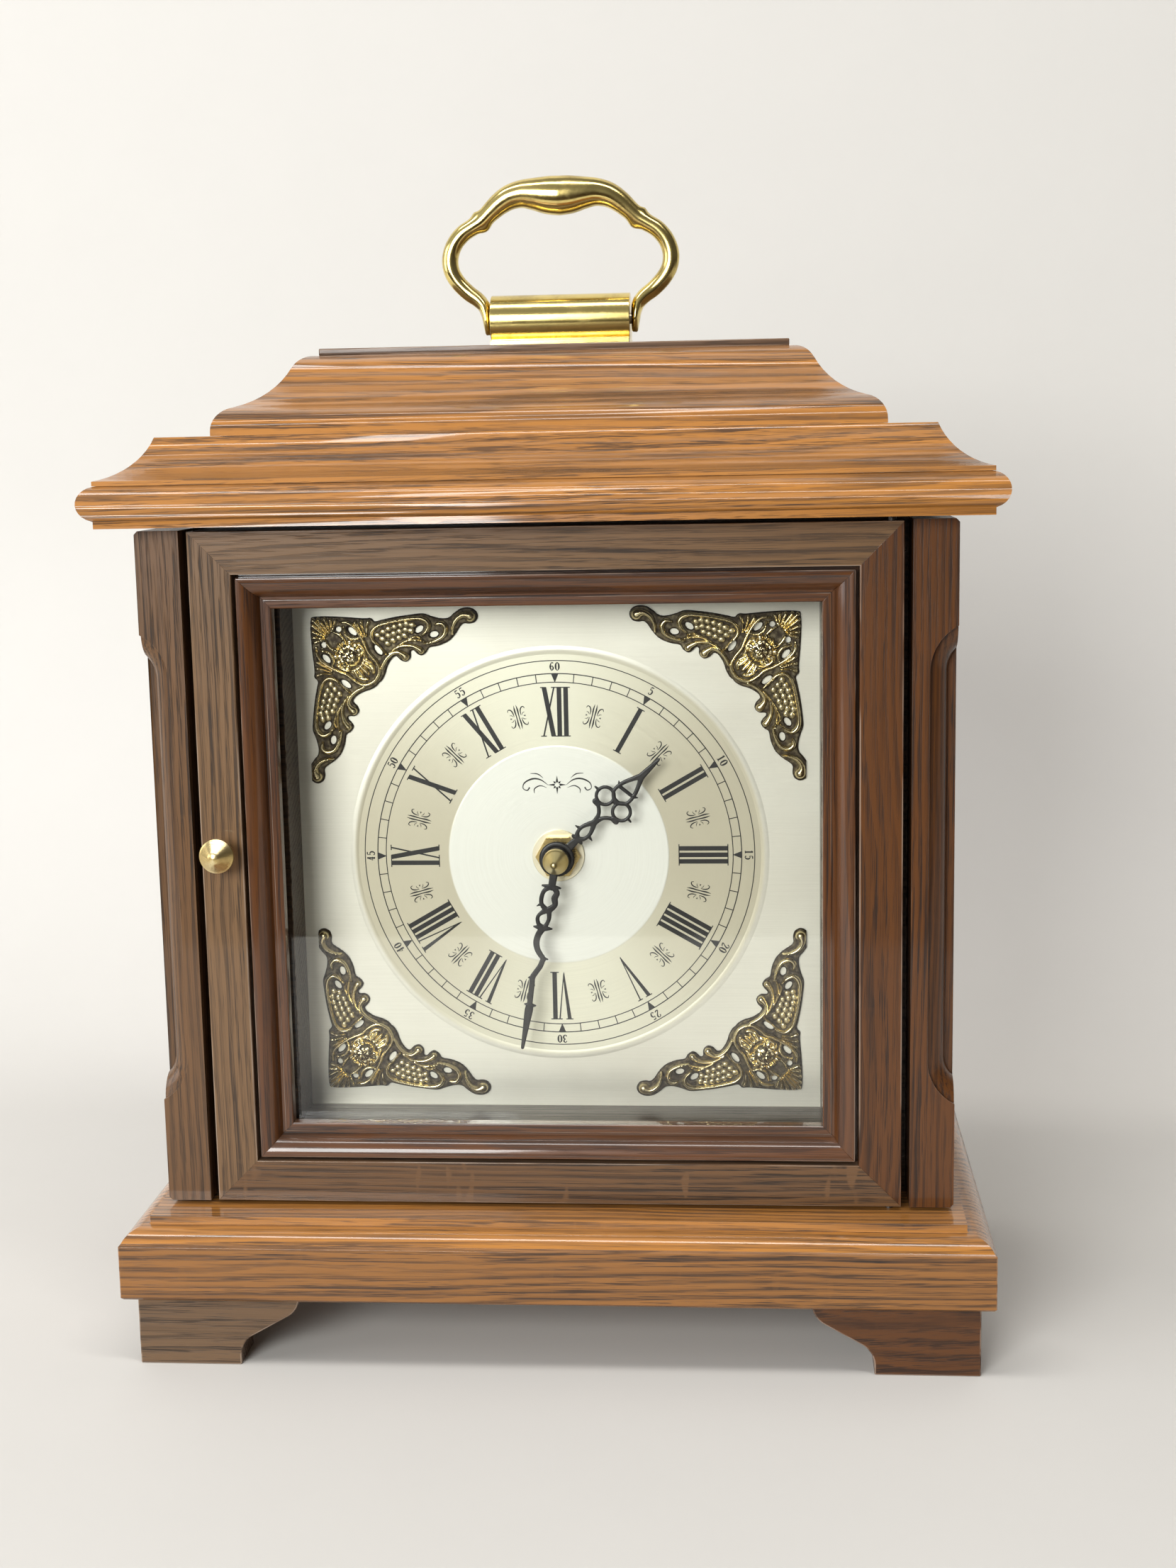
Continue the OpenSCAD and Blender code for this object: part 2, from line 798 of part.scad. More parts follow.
module hand_nut() {
    color(brass) on_dial(minute_level + hand_t) difference() {
        rotate_extrude() polygon([[0, 0], [4.6, 0], [4.6, 2.4], [3.9, 3.4], [1.2, 8.8], [0, 9.6]]);
        translate([0, 0, -cut]) cylinder(r = arbor_r, h = nut_hold + cut);
    }
}

// ---------------------------------------------------------------- back

module back_door() {
    color(oak_dark) difference() {
        translate([-back_half, back_y, back_z]) cube([2 * back_half, back_t, back_h]);
        for (z = [back_z - cut, back_z + back_h - 8]) translate([back_axis_x, back_y + back_t / 2, z])
            cylinder(r = back_pin_r + play, h = 8 + cut);
        translate([back_half - 12, back_y - cut, back_z + back_h / 2]) rotate([-90, 0, 0])
            cylinder(r = 1.5, h = back_t + 2 * cut);
    }
}

module back_knob() {
    color(brass) translate([back_half - 12, back_y + back_t, back_z + back_h / 2])
        rotate([-90, 0, 0]) union() {
            rotate_extrude() polygon([[0, 0], [2.4, 0], [2, 1.6], [4.5, 2.4], [4.5, 3.4], [3.2, 4], [0, 4]]);
            translate([0, 0, -back_t]) cylinder(r = 1.5, h = back_t + 0.5);
        }
}

module back_pins() {
    color(steel) for (z = [back_z - 6, back_z + back_h - 7])
        translate([back_axis_x, back_y + back_t / 2, z]) cylinder(r = back_pin_r, h = 13);
}

// ---------------------------------------------------------------- nodes

base_slab();
base_board();
foot_front_left();
foot_front_right();
foot_back_left();
foot_back_right();
case_side_left();
case_side_right();
case_floor();
case_ceiling();
crown_front();
crown_left();
crown_right();
crown_deck();
bell_front();
bell_left();
bell_right();
bell_core();
top_plate();
handle_base();
handle_bail();
handle_ears();
handle_pins();
door_stile_left();
door_stile_right();
door_rail_top();
door_rail_bottom();
door_bead_left();
door_bead_right();
door_bead_top();
door_bead_bottom();
door_glass();
glass_stops();
door_knob();
door_bushes();
door_pins();
door_strike();
door_magnet();
dial_surround();
dial_plate();
spandrel_top_left();
spandrel_top_right();
spandrel_bottom_left();
spandrel_bottom_right();
movement_case();
movement_cover();
circuit_board();
battery();
mounting_nut();
dial_washer();
hour_wheel();
hour_hand();
minute_arbor();
minute_hand();
hand_nut();
motion_wheel();
set_knob();
back_door();
back_knob();
back_pins();
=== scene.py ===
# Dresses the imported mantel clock: oak boards, dial, castings, hands, handle and movement.
import json
import math

import bmesh
import bpy
import numpy as np
from mathutils import Matrix, Vector

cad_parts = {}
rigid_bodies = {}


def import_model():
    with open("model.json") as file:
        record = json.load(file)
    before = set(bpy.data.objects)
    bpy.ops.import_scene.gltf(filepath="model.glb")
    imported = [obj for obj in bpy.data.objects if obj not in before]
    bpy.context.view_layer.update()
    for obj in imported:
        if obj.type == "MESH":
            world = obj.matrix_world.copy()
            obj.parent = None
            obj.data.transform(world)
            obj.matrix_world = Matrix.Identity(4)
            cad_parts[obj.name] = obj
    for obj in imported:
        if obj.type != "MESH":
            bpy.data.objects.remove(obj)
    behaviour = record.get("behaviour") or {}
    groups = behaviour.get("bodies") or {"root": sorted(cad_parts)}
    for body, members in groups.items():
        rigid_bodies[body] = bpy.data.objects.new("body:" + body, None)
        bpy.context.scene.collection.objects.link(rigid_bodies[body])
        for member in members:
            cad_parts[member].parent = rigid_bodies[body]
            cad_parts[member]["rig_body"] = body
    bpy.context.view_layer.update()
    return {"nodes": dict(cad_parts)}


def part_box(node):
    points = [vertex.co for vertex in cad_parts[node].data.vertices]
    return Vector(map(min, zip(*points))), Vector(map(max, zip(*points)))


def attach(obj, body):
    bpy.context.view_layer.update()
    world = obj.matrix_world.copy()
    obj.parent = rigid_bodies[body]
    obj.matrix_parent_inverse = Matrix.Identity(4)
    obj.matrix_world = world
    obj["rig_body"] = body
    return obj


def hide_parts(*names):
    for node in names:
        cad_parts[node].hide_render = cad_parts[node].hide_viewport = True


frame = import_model()
nodes = frame["nodes"]
bodyOf = {n: o["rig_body"] for n, o in nodes.items()}
mm = 0.001


def place(node):
    low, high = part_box(node)
    return low, high, (low + high) / 2


# Node trees ---------------------------------------------------------------

def addNode(tree, kind, label=None, **settings):
    node = tree.nodes.new(kind)
    for key, value in settings.items():
        setattr(node, key, value)
    if label:
        node.label = label
    return node


def setInputs(node, values):
    for key, value in values.items():
        node.inputs[key].default_value = value
    return node


def link(tree, start, end):
    tree.links.new(start, end)


def mathNode(tree, operation, first, second=None, third=None, clamp=False):
    node = addNode(tree, "ShaderNodeMath", operation=operation, use_clamp=clamp)
    for index, value in enumerate((first, second, third)):
        if value is None:
            continue
        if isinstance(value, (int, float)):
            node.inputs[index].default_value = value
        else:
            link(tree, value, node.inputs[index])
    return node.outputs[0]


def mapRange(tree, value, low, high, toLow=0.0, toHigh=1.0, smooth=True):
    node = addNode(tree, "ShaderNodeMapRange", interpolation_type="SMOOTHSTEP" if smooth else "LINEAR")
    link(tree, value, node.inputs["Value"])
    setInputs(node, {"From Min": low, "From Max": high, "To Min": toLow, "To Max": toHigh})
    return node.outputs[0]


def mixColor(tree, factor, first, second, blend="MIX"):
    node = addNode(tree, "ShaderNodeMix", data_type="RGBA", blend_type=blend)
    for value, index in ((factor, 0), (first, 6), (second, 7)):
        if isinstance(value, (int, float)):
            node.inputs[index].default_value = value
        elif isinstance(value, tuple):
            node.inputs[index].default_value = value + (1,) if len(value) == 3 else value
        else:
            link(tree, value, node.inputs[index])
    return node.outputs[2]


def stretched(tree, vector, scale, noiseScale=1.0, detail=3.0, rough=0.55, distortion=0.0):
    mapping = addNode(tree, "ShaderNodeMapping")
    mapping.inputs["Scale"].default_value = scale
    link(tree, vector, mapping.inputs["Vector"])
    noise = addNode(tree, "ShaderNodeTexNoise")
    setInputs(noise, {"Scale": noiseScale, "Detail": detail, "Roughness": rough, "Distortion": distortion})
    link(tree, mapping.outputs[0], noise.inputs["Vector"])
    return noise.outputs["Fac"]


def newGroup(name, inputs, outputs):
    group = bpy.data.node_groups.new(name, "ShaderNodeTree")
    for label, kind, value in inputs:
        socket = group.interface.new_socket(name=label, in_out="INPUT", socket_type=kind)
        if value is not None:
            socket.default_value = value
    for label, kind in outputs:
        group.interface.new_socket(name=label, in_out="OUTPUT", socket_type=kind)
    return group, addNode(group, "NodeGroupInput"), addNode(group, "NodeGroupOutput")


color, number, vector = "NodeSocketColor", "NodeSocketFloat", "NodeSocketVector"


def makeOakGroup():
    # Open-grained oak, grain along X and the heart of the tree on the X axis; vector in millimetres
    group, inside, outside = newGroup("oakGrain", [
        ("Vector", vector, None), ("Light Tone", color, (0.3, 0.15, 0.06, 1)), ("Dark Tone", color, (0.08, 0.04, 0.02, 1)),
        ("Pore Tone", color, (0.03, 0.015, 0.008, 1)), ("Ring Width", number, 4.0), ("Ring Contrast", number, 0.7),
        ("Pore Amount", number, 0.6), ("Fleck Amount", number, 0.2), ("Arris", number, 0.0)],
        [("Color", color), ("Roughness", number), ("Height", number)])
    t = group
    p = inside.outputs["Vector"]
    # slow wander of the rings, so that flat faces show arches and not ruled lines
    wander = addNode(t, "ShaderNodeTexNoise")
    setInputs(wander, {"Scale": 1.0, "Detail": 2.0, "Roughness": 0.45})
    stretch = addNode(t, "ShaderNodeMapping")
    stretch.inputs["Scale"].default_value = (0.006, 0.022, 0.022)
    link(t, p, stretch.inputs["Vector"])
    link(t, stretch.outputs[0], wander.inputs["Vector"])
    moved = addNode(t, "ShaderNodeVectorMath", operation="MULTIPLY_ADD")
    link(t, wander.outputs["Color"], moved.inputs[0])
    moved.inputs[1].default_value = (0, 11, 11)
    link(t, p, moved.inputs[2])
    split = addNode(t, "ShaderNodeSeparateXYZ")
    link(t, moved.outputs[0], split.inputs[0])
    y2 = mathNode(t, "MULTIPLY", split.outputs[1], split.outputs[1])
    radius = mathNode(t, "SQRT", mathNode(t, "MULTIPLY_ADD", split.outputs[2], split.outputs[2], y2))
    jitter = stretched(t, p, (0.012, 0.3, 0.3), detail=3.0)
    ring = mathNode(t, "ADD", mathNode(t, "DIVIDE", radius, inside.outputs["Ring Width"]),
                    mathNode(t, "MULTIPLY", jitter, 0.8))
    phase = mathNode(t, "FRACT", ring)
    early = mathNode(t, "MULTIPLY", mapRange(t, phase, 0.0, 0.12), mapRange(t, phase, 0.9, 0.3))
    late = mathNode(t, "MULTIPLY", early, inside.outputs["Ring Contrast"])
    # every ring differs a little in depth
    ringNoise = addNode(t, "ShaderNodeTexWhiteNoise", noise_dimensions="1D")
    link(t, mathNode(t, "FLOOR", ring), ringNoise.inputs["W"])
    depth = mathNode(t, "MULTIPLY", late, mathNode(t, "MULTIPLY_ADD", ringNoise.outputs["Value"], 0.7, 0.45), clamp=True)
    fibre = stretched(t, p, (0.02, 2.2, 2.2), detail=4.0, rough=0.6)
    streak = stretched(t, p, (0.007, 0.24, 0.24), detail=4.0)
    tone = mathNode(t, "ADD", mathNode(t, "MULTIPLY", mathNode(t, "SUBTRACT", fibre, 0.5), 1.2),
                    mathNode(t, "MULTIPLY", mathNode(t, "SUBTRACT", streak, 0.5), 1.7))
    dark = mathNode(t, "ADD", depth, tone, clamp=True)
    wood = mixColor(t, dark, inside.outputs["Light Tone"], inside.outputs["Dark Tone"])
    # pores: long thin dashes, thickest in the early wood
    where = mathNode(t, "MULTIPLY_ADD", early, 0.12, -0.04)
    fine = mathNode(t, "ADD", stretched(t, p, (0.06, 3.0, 3.0), detail=2.0, rough=0.5), where)
    coarse = mathNode(t, "ADD", stretched(t, p, (0.022, 1.5, 1.5), detail=3.0, rough=0.55), where)
    pores = mathNode(t, "MAXIMUM", mapRange(t, fine, 0.57, 0.66), mapRange(t, coarse, 0.58, 0.68))
    # they gather in streaks
    gather = mapRange(t, stretched(t, p, (0.008, 0.13, 0.13), detail=2.0), 0.30, 0.62, 0.35, 1.0)
    pores = mathNode(t, "MULTIPLY", mathNode(t, "MULTIPLY", pores, gather), inside.outputs["Pore Amount"])
    wood = mixColor(t, pores, wood, inside.outputs["Pore Tone"])
    # ray flecks: short pale dashes across the grain
    flecks = mapRange(t, stretched(t, p, (0.16, 0.5, 0.05), detail=1.0), 0.66, 0.72)
    flecks = mathNode(t, "MULTIPLY", flecks, inside.outputs["Fleck Amount"])
    wood = mixColor(t, flecks, wood, inside.outputs["Light Tone"])
    # rubbed arrises are paler and smoother: wear, together with a painted highlight along the edges
    arrisWearAndHighlight = mathNode(t, "MULTIPLY", inside.outputs["Arris"], mapRange(t, stretched(t, p, (0.03, 0.2, 0.2)), 0.35, 0.62), clamp=True)
    arrisWornHighlightTone = mixColor(t, 0.4, inside.outputs["Light Tone"], (0.55, 0.44, 0.35))
    wood = mixColor(t, mathNode(t, "MULTIPLY", arrisWearAndHighlight, 0.8), wood, arrisWornHighlightTone)
    link(t, wood, outside.inputs["Color"])
    gloss = mathNode(t, "MULTIPLY_ADD", pores, 0.22, mathNode(t, "MULTIPLY_ADD", fibre, 0.18, 0.27))
    link(t, mathNode(t, "SUBTRACT", gloss, mathNode(t, "MULTIPLY", arrisWearAndHighlight, 0.06)), outside.inputs["Roughness"])
    height = mathNode(t, "SUBTRACT", mathNode(t, "MULTIPLY", fibre, 0.25), pores)
    link(t, height, outside.inputs["Height"])
    return group


def makeMetalGroup():
    # Tarnish, fine scratches and dirt for bare metal; vector in millimetres
    group, inside, outside = newGroup("metalWear", [
        ("Vector", vector, None), ("Clean Color", color, (0.8, 0.6, 0.25, 1)), ("Tarnish Color", color, (0.35, 0.24, 0.1, 1)),
        ("Tarnish", number, 0.3), ("Roughness", number, 0.2), ("Brushed", number, 0.0)],
        [("Color", color), ("Roughness", number), ("Height", number)])
    t = group
    p = inside.outputs["Vector"]
    cloud = stretched(t, p, (0.09, 0.09, 0.09), detail=5.0, rough=0.6, distortion=0.4)
    speck = stretched(t, p, (0.9, 0.9, 0.9), detail=3.0)
    patches = mapRange(t, mathNode(t, "ADD", cloud, mathNode(t, "MULTIPLY", speck, 0.25)), 0.5, 0.85)
    amount = mathNode(t, "MULTIPLY", patches, inside.outputs["Tarnish"], clamp=True)
    spots = mathNode(t, "MULTIPLY", mapRange(t, speck, 0.68, 0.74), inside.outputs["Tarnish"])
    total = mathNode(t, "MAXIMUM", amount, spots)
    link(t, mixColor(t, total, inside.outputs["Clean Color"], inside.outputs["Tarnish Color"]), outside.inputs["Color"])
    lines = stretched(t, p, (0.05, 4.0, 4.0), detail=3.0)
    rough = mathNode(t, "MULTIPLY_ADD", total, 0.25, inside.outputs["Roughness"])
    rough = mathNode(t, "MULTIPLY_ADD", mathNode(t, "SUBTRACT", lines, 0.5), mathNode(t, "MULTIPLY", inside.outputs["Brushed"], 0.3), rough)
    link(t, rough, outside.inputs["Roughness"])
    link(t, mathNode(t, "MULTIPLY_ADD", lines, inside.outputs["Brushed"], mathNode(t, "MULTIPLY", speck, 0.15)), outside.inputs["Height"])
    return group


def makeDustGroup():
    # Pale dust that settles on faces turned upwards; vector in millimetres
    group, inside, outside = newGroup("settledDust", [
        ("Vector", vector, None), ("Color", color, (0.5, 0.5, 0.5, 1)), ("Roughness", number, 0.4), ("Amount", number, 0.15)],
        [("Color", color), ("Roughness", number)])
    t = group
    geometry = addNode(t, "ShaderNodeNewGeometry")
    normal = addNode(t, "ShaderNodeSeparateXYZ")
    link(t, geometry.outputs["Normal"], normal.inputs[0])
    up = mapRange(t, normal.outputs[2], 0.55, 1.0)
    cloud = stretched(t, inside.outputs["Vector"], (0.05, 0.05, 0.05), detail=4.0)
    mask = mathNode(t, "MULTIPLY", mathNode(t, "MULTIPLY", up, cloud), inside.outputs["Amount"], clamp=True)
    link(t, mixColor(t, mask, inside.outputs["Color"], (0.42, 0.40, 0.37)), outside.inputs["Color"])
    link(t, mathNode(t, "MULTIPLY_ADD", mask, 0.5, inside.outputs["Roughness"]), outside.inputs["Roughness"])
    return group


oakGroup = makeOakGroup()
metalGroup = makeMetalGroup()
dustGroup = makeDustGroup()


def startMaterial(name):
    material = bpy.data.materials.new(name)
    material.use_nodes = True
    tree = material.node_tree
    shader = tree.nodes["Principled BSDF"]
    coordinates = addNode(tree, "ShaderNodeTexCoord")
    return material, tree, shader, coordinates.outputs["Object"]


def inMillimetres(tree, source, turn=(0, 0, 0), centre=(0, 0, 0)):
    # Centre a pattern on a piece and turn it: subtract the centre, turn, scale to millimetres
    shift = addNode(tree, "ShaderNodeMapping")
    shift.inputs["Location"].default_value = [-c for c in centre]
    link(tree, source, shift.inputs["Vector"])
    spin = addNode(tree, "ShaderNodeMapping")
    spin.inputs["Rotation"].default_value = turn
    spin.inputs["Scale"].default_value = (1000, 1000, 1000)
    link(tree, shift.outputs[0], spin.inputs["Vector"])
    return spin.outputs[0]


def useGroup(tree, group, values, **links):
    node = addNode(tree, "ShaderNodeGroup")
    node.node_tree = group
    for key, value in values.items():
        node.inputs[key].default_value = value if not isinstance(value, tuple) or len(value) == 4 else value + (1,)
    for key, socket in links.items():
        link(tree, socket, node.inputs[key])
    return node


def addBump(tree, shader, height, strength, distance):
    bump = addNode(tree, "ShaderNodeBump")
    setInputs(bump, {"Strength": strength, "Distance": distance})
    link(tree, height, bump.inputs["Height"])
    link(tree, bump.outputs[0], shader.inputs["Normal"])
    return bump


# grain direction to a turn that brings it onto X
grainTurns = {"x": (0, 0, 0), "y": (0, 0, -math.pi / 2), "z": (0, math.pi / 2, 0)}
# post, pale and foot are lighter than case and go mostly to left-hand pieces: paler wood and painted window light
oakTones = {
    "case": {"light": (0.098, 0.034, 0.008), "dark": (0.022, 0.008, 0.003), "pore": (0.006, 0.003, 0.002), "coat": 0.35},
    "post": {"light": (0.130, 0.064, 0.026), "dark": (0.030, 0.015, 0.008), "pore": (0.008, 0.005, 0.003), "coat": 0.35},
    "pale": {"light": (0.160, 0.088, 0.040), "dark": (0.040, 0.021, 0.011), "pore": (0.010, 0.006, 0.004), "coat": 0.35},
    "bead": {"light": (0.100, 0.034, 0.008), "dark": (0.020, 0.007, 0.003), "pore": (0.007, 0.003, 0.002), "coat": 0.8},
    "cap": {"light": (0.410, 0.165, 0.027), "dark": (0.055, 0.020, 0.005), "pore": (0.013, 0.005, 0.002), "coat": 0.9},
    "base": {"light": (0.250, 0.102, 0.022), "dark": (0.034, 0.013, 0.005), "pore": (0.009, 0.004, 0.002), "coat": 0.7},
    "foot": {"light": (0.140, 0.082, 0.044), "dark": (0.036, 0.020, 0.011), "pore": (0.010, 0.006, 0.004), "coat": 0.2},
    "inside": {"light": (0.055, 0.026, 0.011), "dark": (0.016, 0.008, 0.004), "pore": (0.006, 0.003, 0.002), "coat": 0.1},
}


def oakMaterial(name, along, tone, centre, tilt=(0, 0, 0), rings=4.0, contrast=0.7, pores=0.6, flecks=0.15, dust=0.08):
    material, tree, shader, source = startMaterial(name)
    turned = inMillimetres(tree, source, grainTurns[along], centre)
    tilted = addNode(tree, "ShaderNodeMapping")
    tilted.inputs["Rotation"].default_value = [math.radians(a) for a in tilt]
    link(tree, turned, tilted.inputs["Vector"])
    arris = addNode(tree, "ShaderNodeAttribute", attribute_name="arris")
    tones = oakTones[tone]
    grain = useGroup(tree, oakGroup, {
        "Light Tone": tones["light"], "Dark Tone": tones["dark"], "Pore Tone": tones["pore"],
        "Ring Width": rings, "Ring Contrast": contrast, "Pore Amount": pores, "Fleck Amount": flecks},
        Vector=tilted.outputs[0], Arris=arris.outputs["Fac"])
    dusty = useGroup(tree, dustGroup, {"Amount": dust}, Vector=tilted.outputs[0],
                     Color=grain.outputs["Color"], Roughness=grain.outputs["Roughness"])
    link(tree, dusty.outputs["Color"], shader.inputs["Base Color"])
    link(tree, dusty.outputs["Roughness"], shader.inputs["Roughness"])
    setInputs(shader, {"Coat Weight": tones["coat"], "Coat Roughness": 0.07, "Specular IOR Level": 0.25})
    addBump(tree, shader, grain.outputs["Height"], 0.35, 0.0002)
    return material


def metalMaterial(name, clean, tarnish, amount, rough, brushed=0.0, turn=(0, 0, 0), bump=0.08, coat=0.0, centre=(0, 0, 0)):
    material, tree, shader, source = startMaterial(name)
    where = inMillimetres(tree, source, turn, centre)
    wear = useGroup(tree, metalGroup, {"Clean Color": clean, "Tarnish Color": tarnish, "Tarnish": amount,
                                       "Roughness": rough, "Brushed": brushed}, Vector=where)
    link(tree, wear.outputs["Color"], shader.inputs["Base Color"])
    link(tree, wear.outputs["Roughness"], shader.inputs["Roughness"])
    setInputs(shader, {"Metallic": 1.0, "Coat Weight": coat})
    addBump(tree, shader, wear.outputs["Height"], bump, 0.0001)
    return material


def plasticMaterial(name, base, rough, grain, grainHeight, metallic=0.0):
    material, tree, shader, source = startMaterial(name)
    where = inMillimetres(tree, source)
    fine = stretched(tree, where, (grain, grain, grain), detail=3.0)
    broad = stretched(tree, where, (0.06, 0.06, 0.06), detail=3.0)
    pale = tuple(min(1.0, c * 1.6 + 0.006) for c in base)
    link(tree, mixColor(tree, mapRange(tree, broad, 0.3, 0.8), base, pale), shader.inputs["Base Color"])
    link(tree, mathNode(tree, "MULTIPLY_ADD", fine, 0.18, rough), shader.inputs["Roughness"])
    shader.inputs["Metallic"].default_value = metallic
    addBump(tree, shader, fine, 0.4, grainHeight)
    return material


# Pieces -------------------------------------------------------------------

def finishPiece(name, bm, material, body, smooth=35, weighted=False):
    mesh = bpy.data.meshes.new(name)
    bm.to_mesh(mesh)
    bm.free()
    for m in (material if isinstance(material, list) else [material]):
        mesh.materials.append(m)
    mesh.shade_smooth()
    mesh.set_sharp_from_angle(angle=math.radians(smooth))
    piece = bpy.data.objects.new(name, mesh)
    bpy.context.scene.collection.objects.link(piece)
    if weighted:
        piece.modifiers.new("flatFaces", "WEIGHTED_NORMAL").keep_sharp = True
    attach(piece, body)
    return piece


def fromNode(node, mergeAngle=0.5):
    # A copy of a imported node's mesh, merged and with its flat faces whole
    bm = bmesh.new()
    bm.from_mesh(nodes[node].data)
    bmesh.ops.remove_doubles(bm, verts=bm.verts, dist=0.002 * mm)
    bmesh.ops.dissolve_limit(bm, angle_limit=math.radians(mergeAngle), verts=bm.verts, edges=bm.edges)
    return bm


def isMitre(face):
    # a face cut at 45 degrees, in the plane of the door or on the corner of a moulding
    n = face.normal
    a, b, c = sorted((abs(n.x), abs(n.y), abs(n.z)))
    return a < 0.01 and abs(b - c) < 0.02 and face.calc_area() > 60 * mm * mm


def easeEdges(bm, width, mitreWidth, sharpAngle=28):
    # Rub down the outer edges, and leave only a hair at the joints
    arris = bm.loops.layers.float.new("arris")

    def sharpEdges(wanted):
        found = []
        for e in bm.edges:
            if len(e.link_faces) != 2 or not e.is_convex:
                continue
            if math.degrees(e.calc_face_angle(0)) < sharpAngle:
                continue
            joint = any(isMitre(f) for f in e.link_faces)
            if joint == wanted:
                found.append(e)
        return found

    for size, joints in ((width, False), (mitreWidth, True)):
        edges = sharpEdges(joints)
        if not edges or size <= 0:
            continue
        made = bmesh.ops.bevel(bm, geom=edges, offset=size * mm, offset_type="OFFSET", segments=2, profile=0.5,
                               affect="EDGES", clamp_overlap=True, material=-1)
        # the outer bevels are marked for the oak shader, which paints them paler: wear and a painted highlight
        if not joints:
            for f in made["faces"]:
                for loop in f.loops:
                    loop[arris] = 1.0
    return bm


# left-hand pieces take lighter tones than their right-hand twins: painted light from the window side, with paler wood
boardSettings = {
    "base_slab": {"along": "x", "tone": "base", "pith": (0.02, 0.02, -0.09), "rings": 2.4, "ease": 0.35, "contrast": 0.55, "tilt": (0, 0.5, 0.4)},
    "base_board": {"along": "x", "tone": "cap", "pith": (0.0, 0.05, 0.12), "rings": 2.6, "ease": 0.25},
    "foot_front_left": {"along": "x", "tone": "foot", "pith": (-0.125, -0.035, 0.03), "rings": 2.0, "ease": 0.5, "contrast": 0.35},
    "foot_front_right": {"along": "x", "tone": "case", "pith": (0.1, 0.0, 0.045), "rings": 2.2, "ease": 0.5, "tilt": (0, 3, 2)},
    "foot_back_left": {"along": "x", "tone": "foot", "pith": (-0.1, 0.03, 0.06), "rings": 2.2, "ease": 0.5},
    "foot_back_right": {"along": "x", "tone": "case", "pith": (0.1, 0.03, 0.07), "rings": 2.2, "ease": 0.5},
    "case_side_left": {"along": "z", "tone": "post", "pith": (-0.21, 0.02, 0.17), "rings": 2.2, "ease": 0.4, "tilt": (0, 0.7, 0.5)},
    "case_side_right": {"along": "z", "tone": "case", "pith": (0.23, 0.01, 0.17), "rings": 2.2, "ease": 0.4, "tilt": (0, -0.6, 0)},
    "case_floor": {"along": "x", "tone": "inside", "pith": (0, 0, 0.14), "rings": 3.0, "ease": 0.3},
    "case_ceiling": {"along": "x", "tone": "inside", "pith": (0, 0, 0.2), "rings": 3.0, "ease": 0.3},
    "crown_front": {"along": "x", "tone": "cap", "pith": (0.05, -0.02, 0.235), "rings": 2.8, "ease": 0.3, "tilt": (0, 0.8, 1.0)},
    "crown_left": {"along": "y", "tone": "cap", "pith": (-0.09, 0.0, 0.24), "rings": 2.8, "ease": 0.3, "tilt": (0, 1, 0)},
    "crown_right": {"along": "y", "tone": "cap", "pith": (0.09, 0.0, 0.24), "rings": 2.8, "ease": 0.3},
    "crown_deck": {"along": "x", "tone": "cap", "pith": (0, 0, 0.2), "rings": 3.0, "ease": 0.3},
    "bell_front": {"along": "x", "tone": "cap", "pith": (-0.03, 0.0, 0.275), "rings": 2.8, "ease": 0.3, "tilt": (0, -0.9, 1.0)},
    "bell_left": {"along": "y", "tone": "cap", "pith": (-0.05, 0, 0.27), "rings": 2.8, "ease": 0.3},
    "bell_right": {"along": "y", "tone": "cap", "pith": (0.05, 0, 0.27), "rings": 2.8, "ease": 0.3},
    "bell_core": {"along": "x", "tone": "cap", "pith": (0, 0, 0.25), "rings": 3.0, "ease": 0.2},
    "top_plate": {"along": "x", "tone": "post", "pith": (0, 0, 0.27), "rings": 3.0, "ease": 0.4},
    "door_stile_left": {"along": "z", "tone": "pale", "pith": (-0.19, 0.03, 0.17), "rings": 1.9, "ease": 0.5, "tilt": (0, 0.6, 0)},
    "door_stile_right": {"along": "z", "tone": "case", "pith": (0.17, 0.04, 0.17), "rings": 1.9, "ease": 0.5, "tilt": (0, -0.6, 0)},
    "door_rail_top": {"along": "x", "tone": "pale", "pith": (0, 0.04, 0.36), "rings": 1.9, "ease": 0.5},
    "door_rail_bottom": {"along": "x", "tone": "post", "pith": (0, 0.0, -0.02), "rings": 2.2, "ease": 0.5, "flecks": 0.9},
    "door_bead_left": {"along": "z", "tone": "bead", "pith": (-0.16, 0.0, 0.17), "rings": 1.8, "ease": 0.25},
    "door_bead_right": {"along": "z", "tone": "bead", "pith": (0.16, 0.0, 0.17), "rings": 1.8, "ease": 0.25},
    "door_bead_top": {"along": "x", "tone": "bead", "pith": (0, 0.0, 0.34), "rings": 1.8, "ease": 0.25},
    "door_bead_bottom": {"along": "x", "tone": "bead", "pith": (0, 0.0, 0.01), "rings": 1.8, "ease": 0.25},
    "glass_stops": {"along": "x", "tone": "inside", "pith": (0, 0, 0.1), "rings": 3.0, "ease": 0.3},
    "dial_surround": {"along": "x", "tone": "inside", "pith": (0, 0.02, 0.08), "rings": 2.6, "ease": 0.3},
    "back_door": {"along": "z", "tone": "inside", "pith": (0.02, 0.17, 0.17), "rings": 3.0, "ease": 0.6, "tilt": (0, 0, 1)},
}
for node, s in boardSettings.items():
    bm = easeEdges(fromNode(node), s["ease"], 0.1)
    material = oakMaterial("oak_" + node, s["along"], s["tone"], s["pith"], s.get("tilt", (0, 0, 0)), s["rings"],
                           s.get("contrast", 0.42), s.get("pores", 0.75), s.get("flecks", 0.12))
    piece = finishPiece(node + "_wood", bm, material, bodyOf[node], weighted=True)
    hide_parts(node)
print("boards shaped and grained:", len(boardSettings))


# Castings and stamped hands: a drawn outline, raised by rounded strokes ------

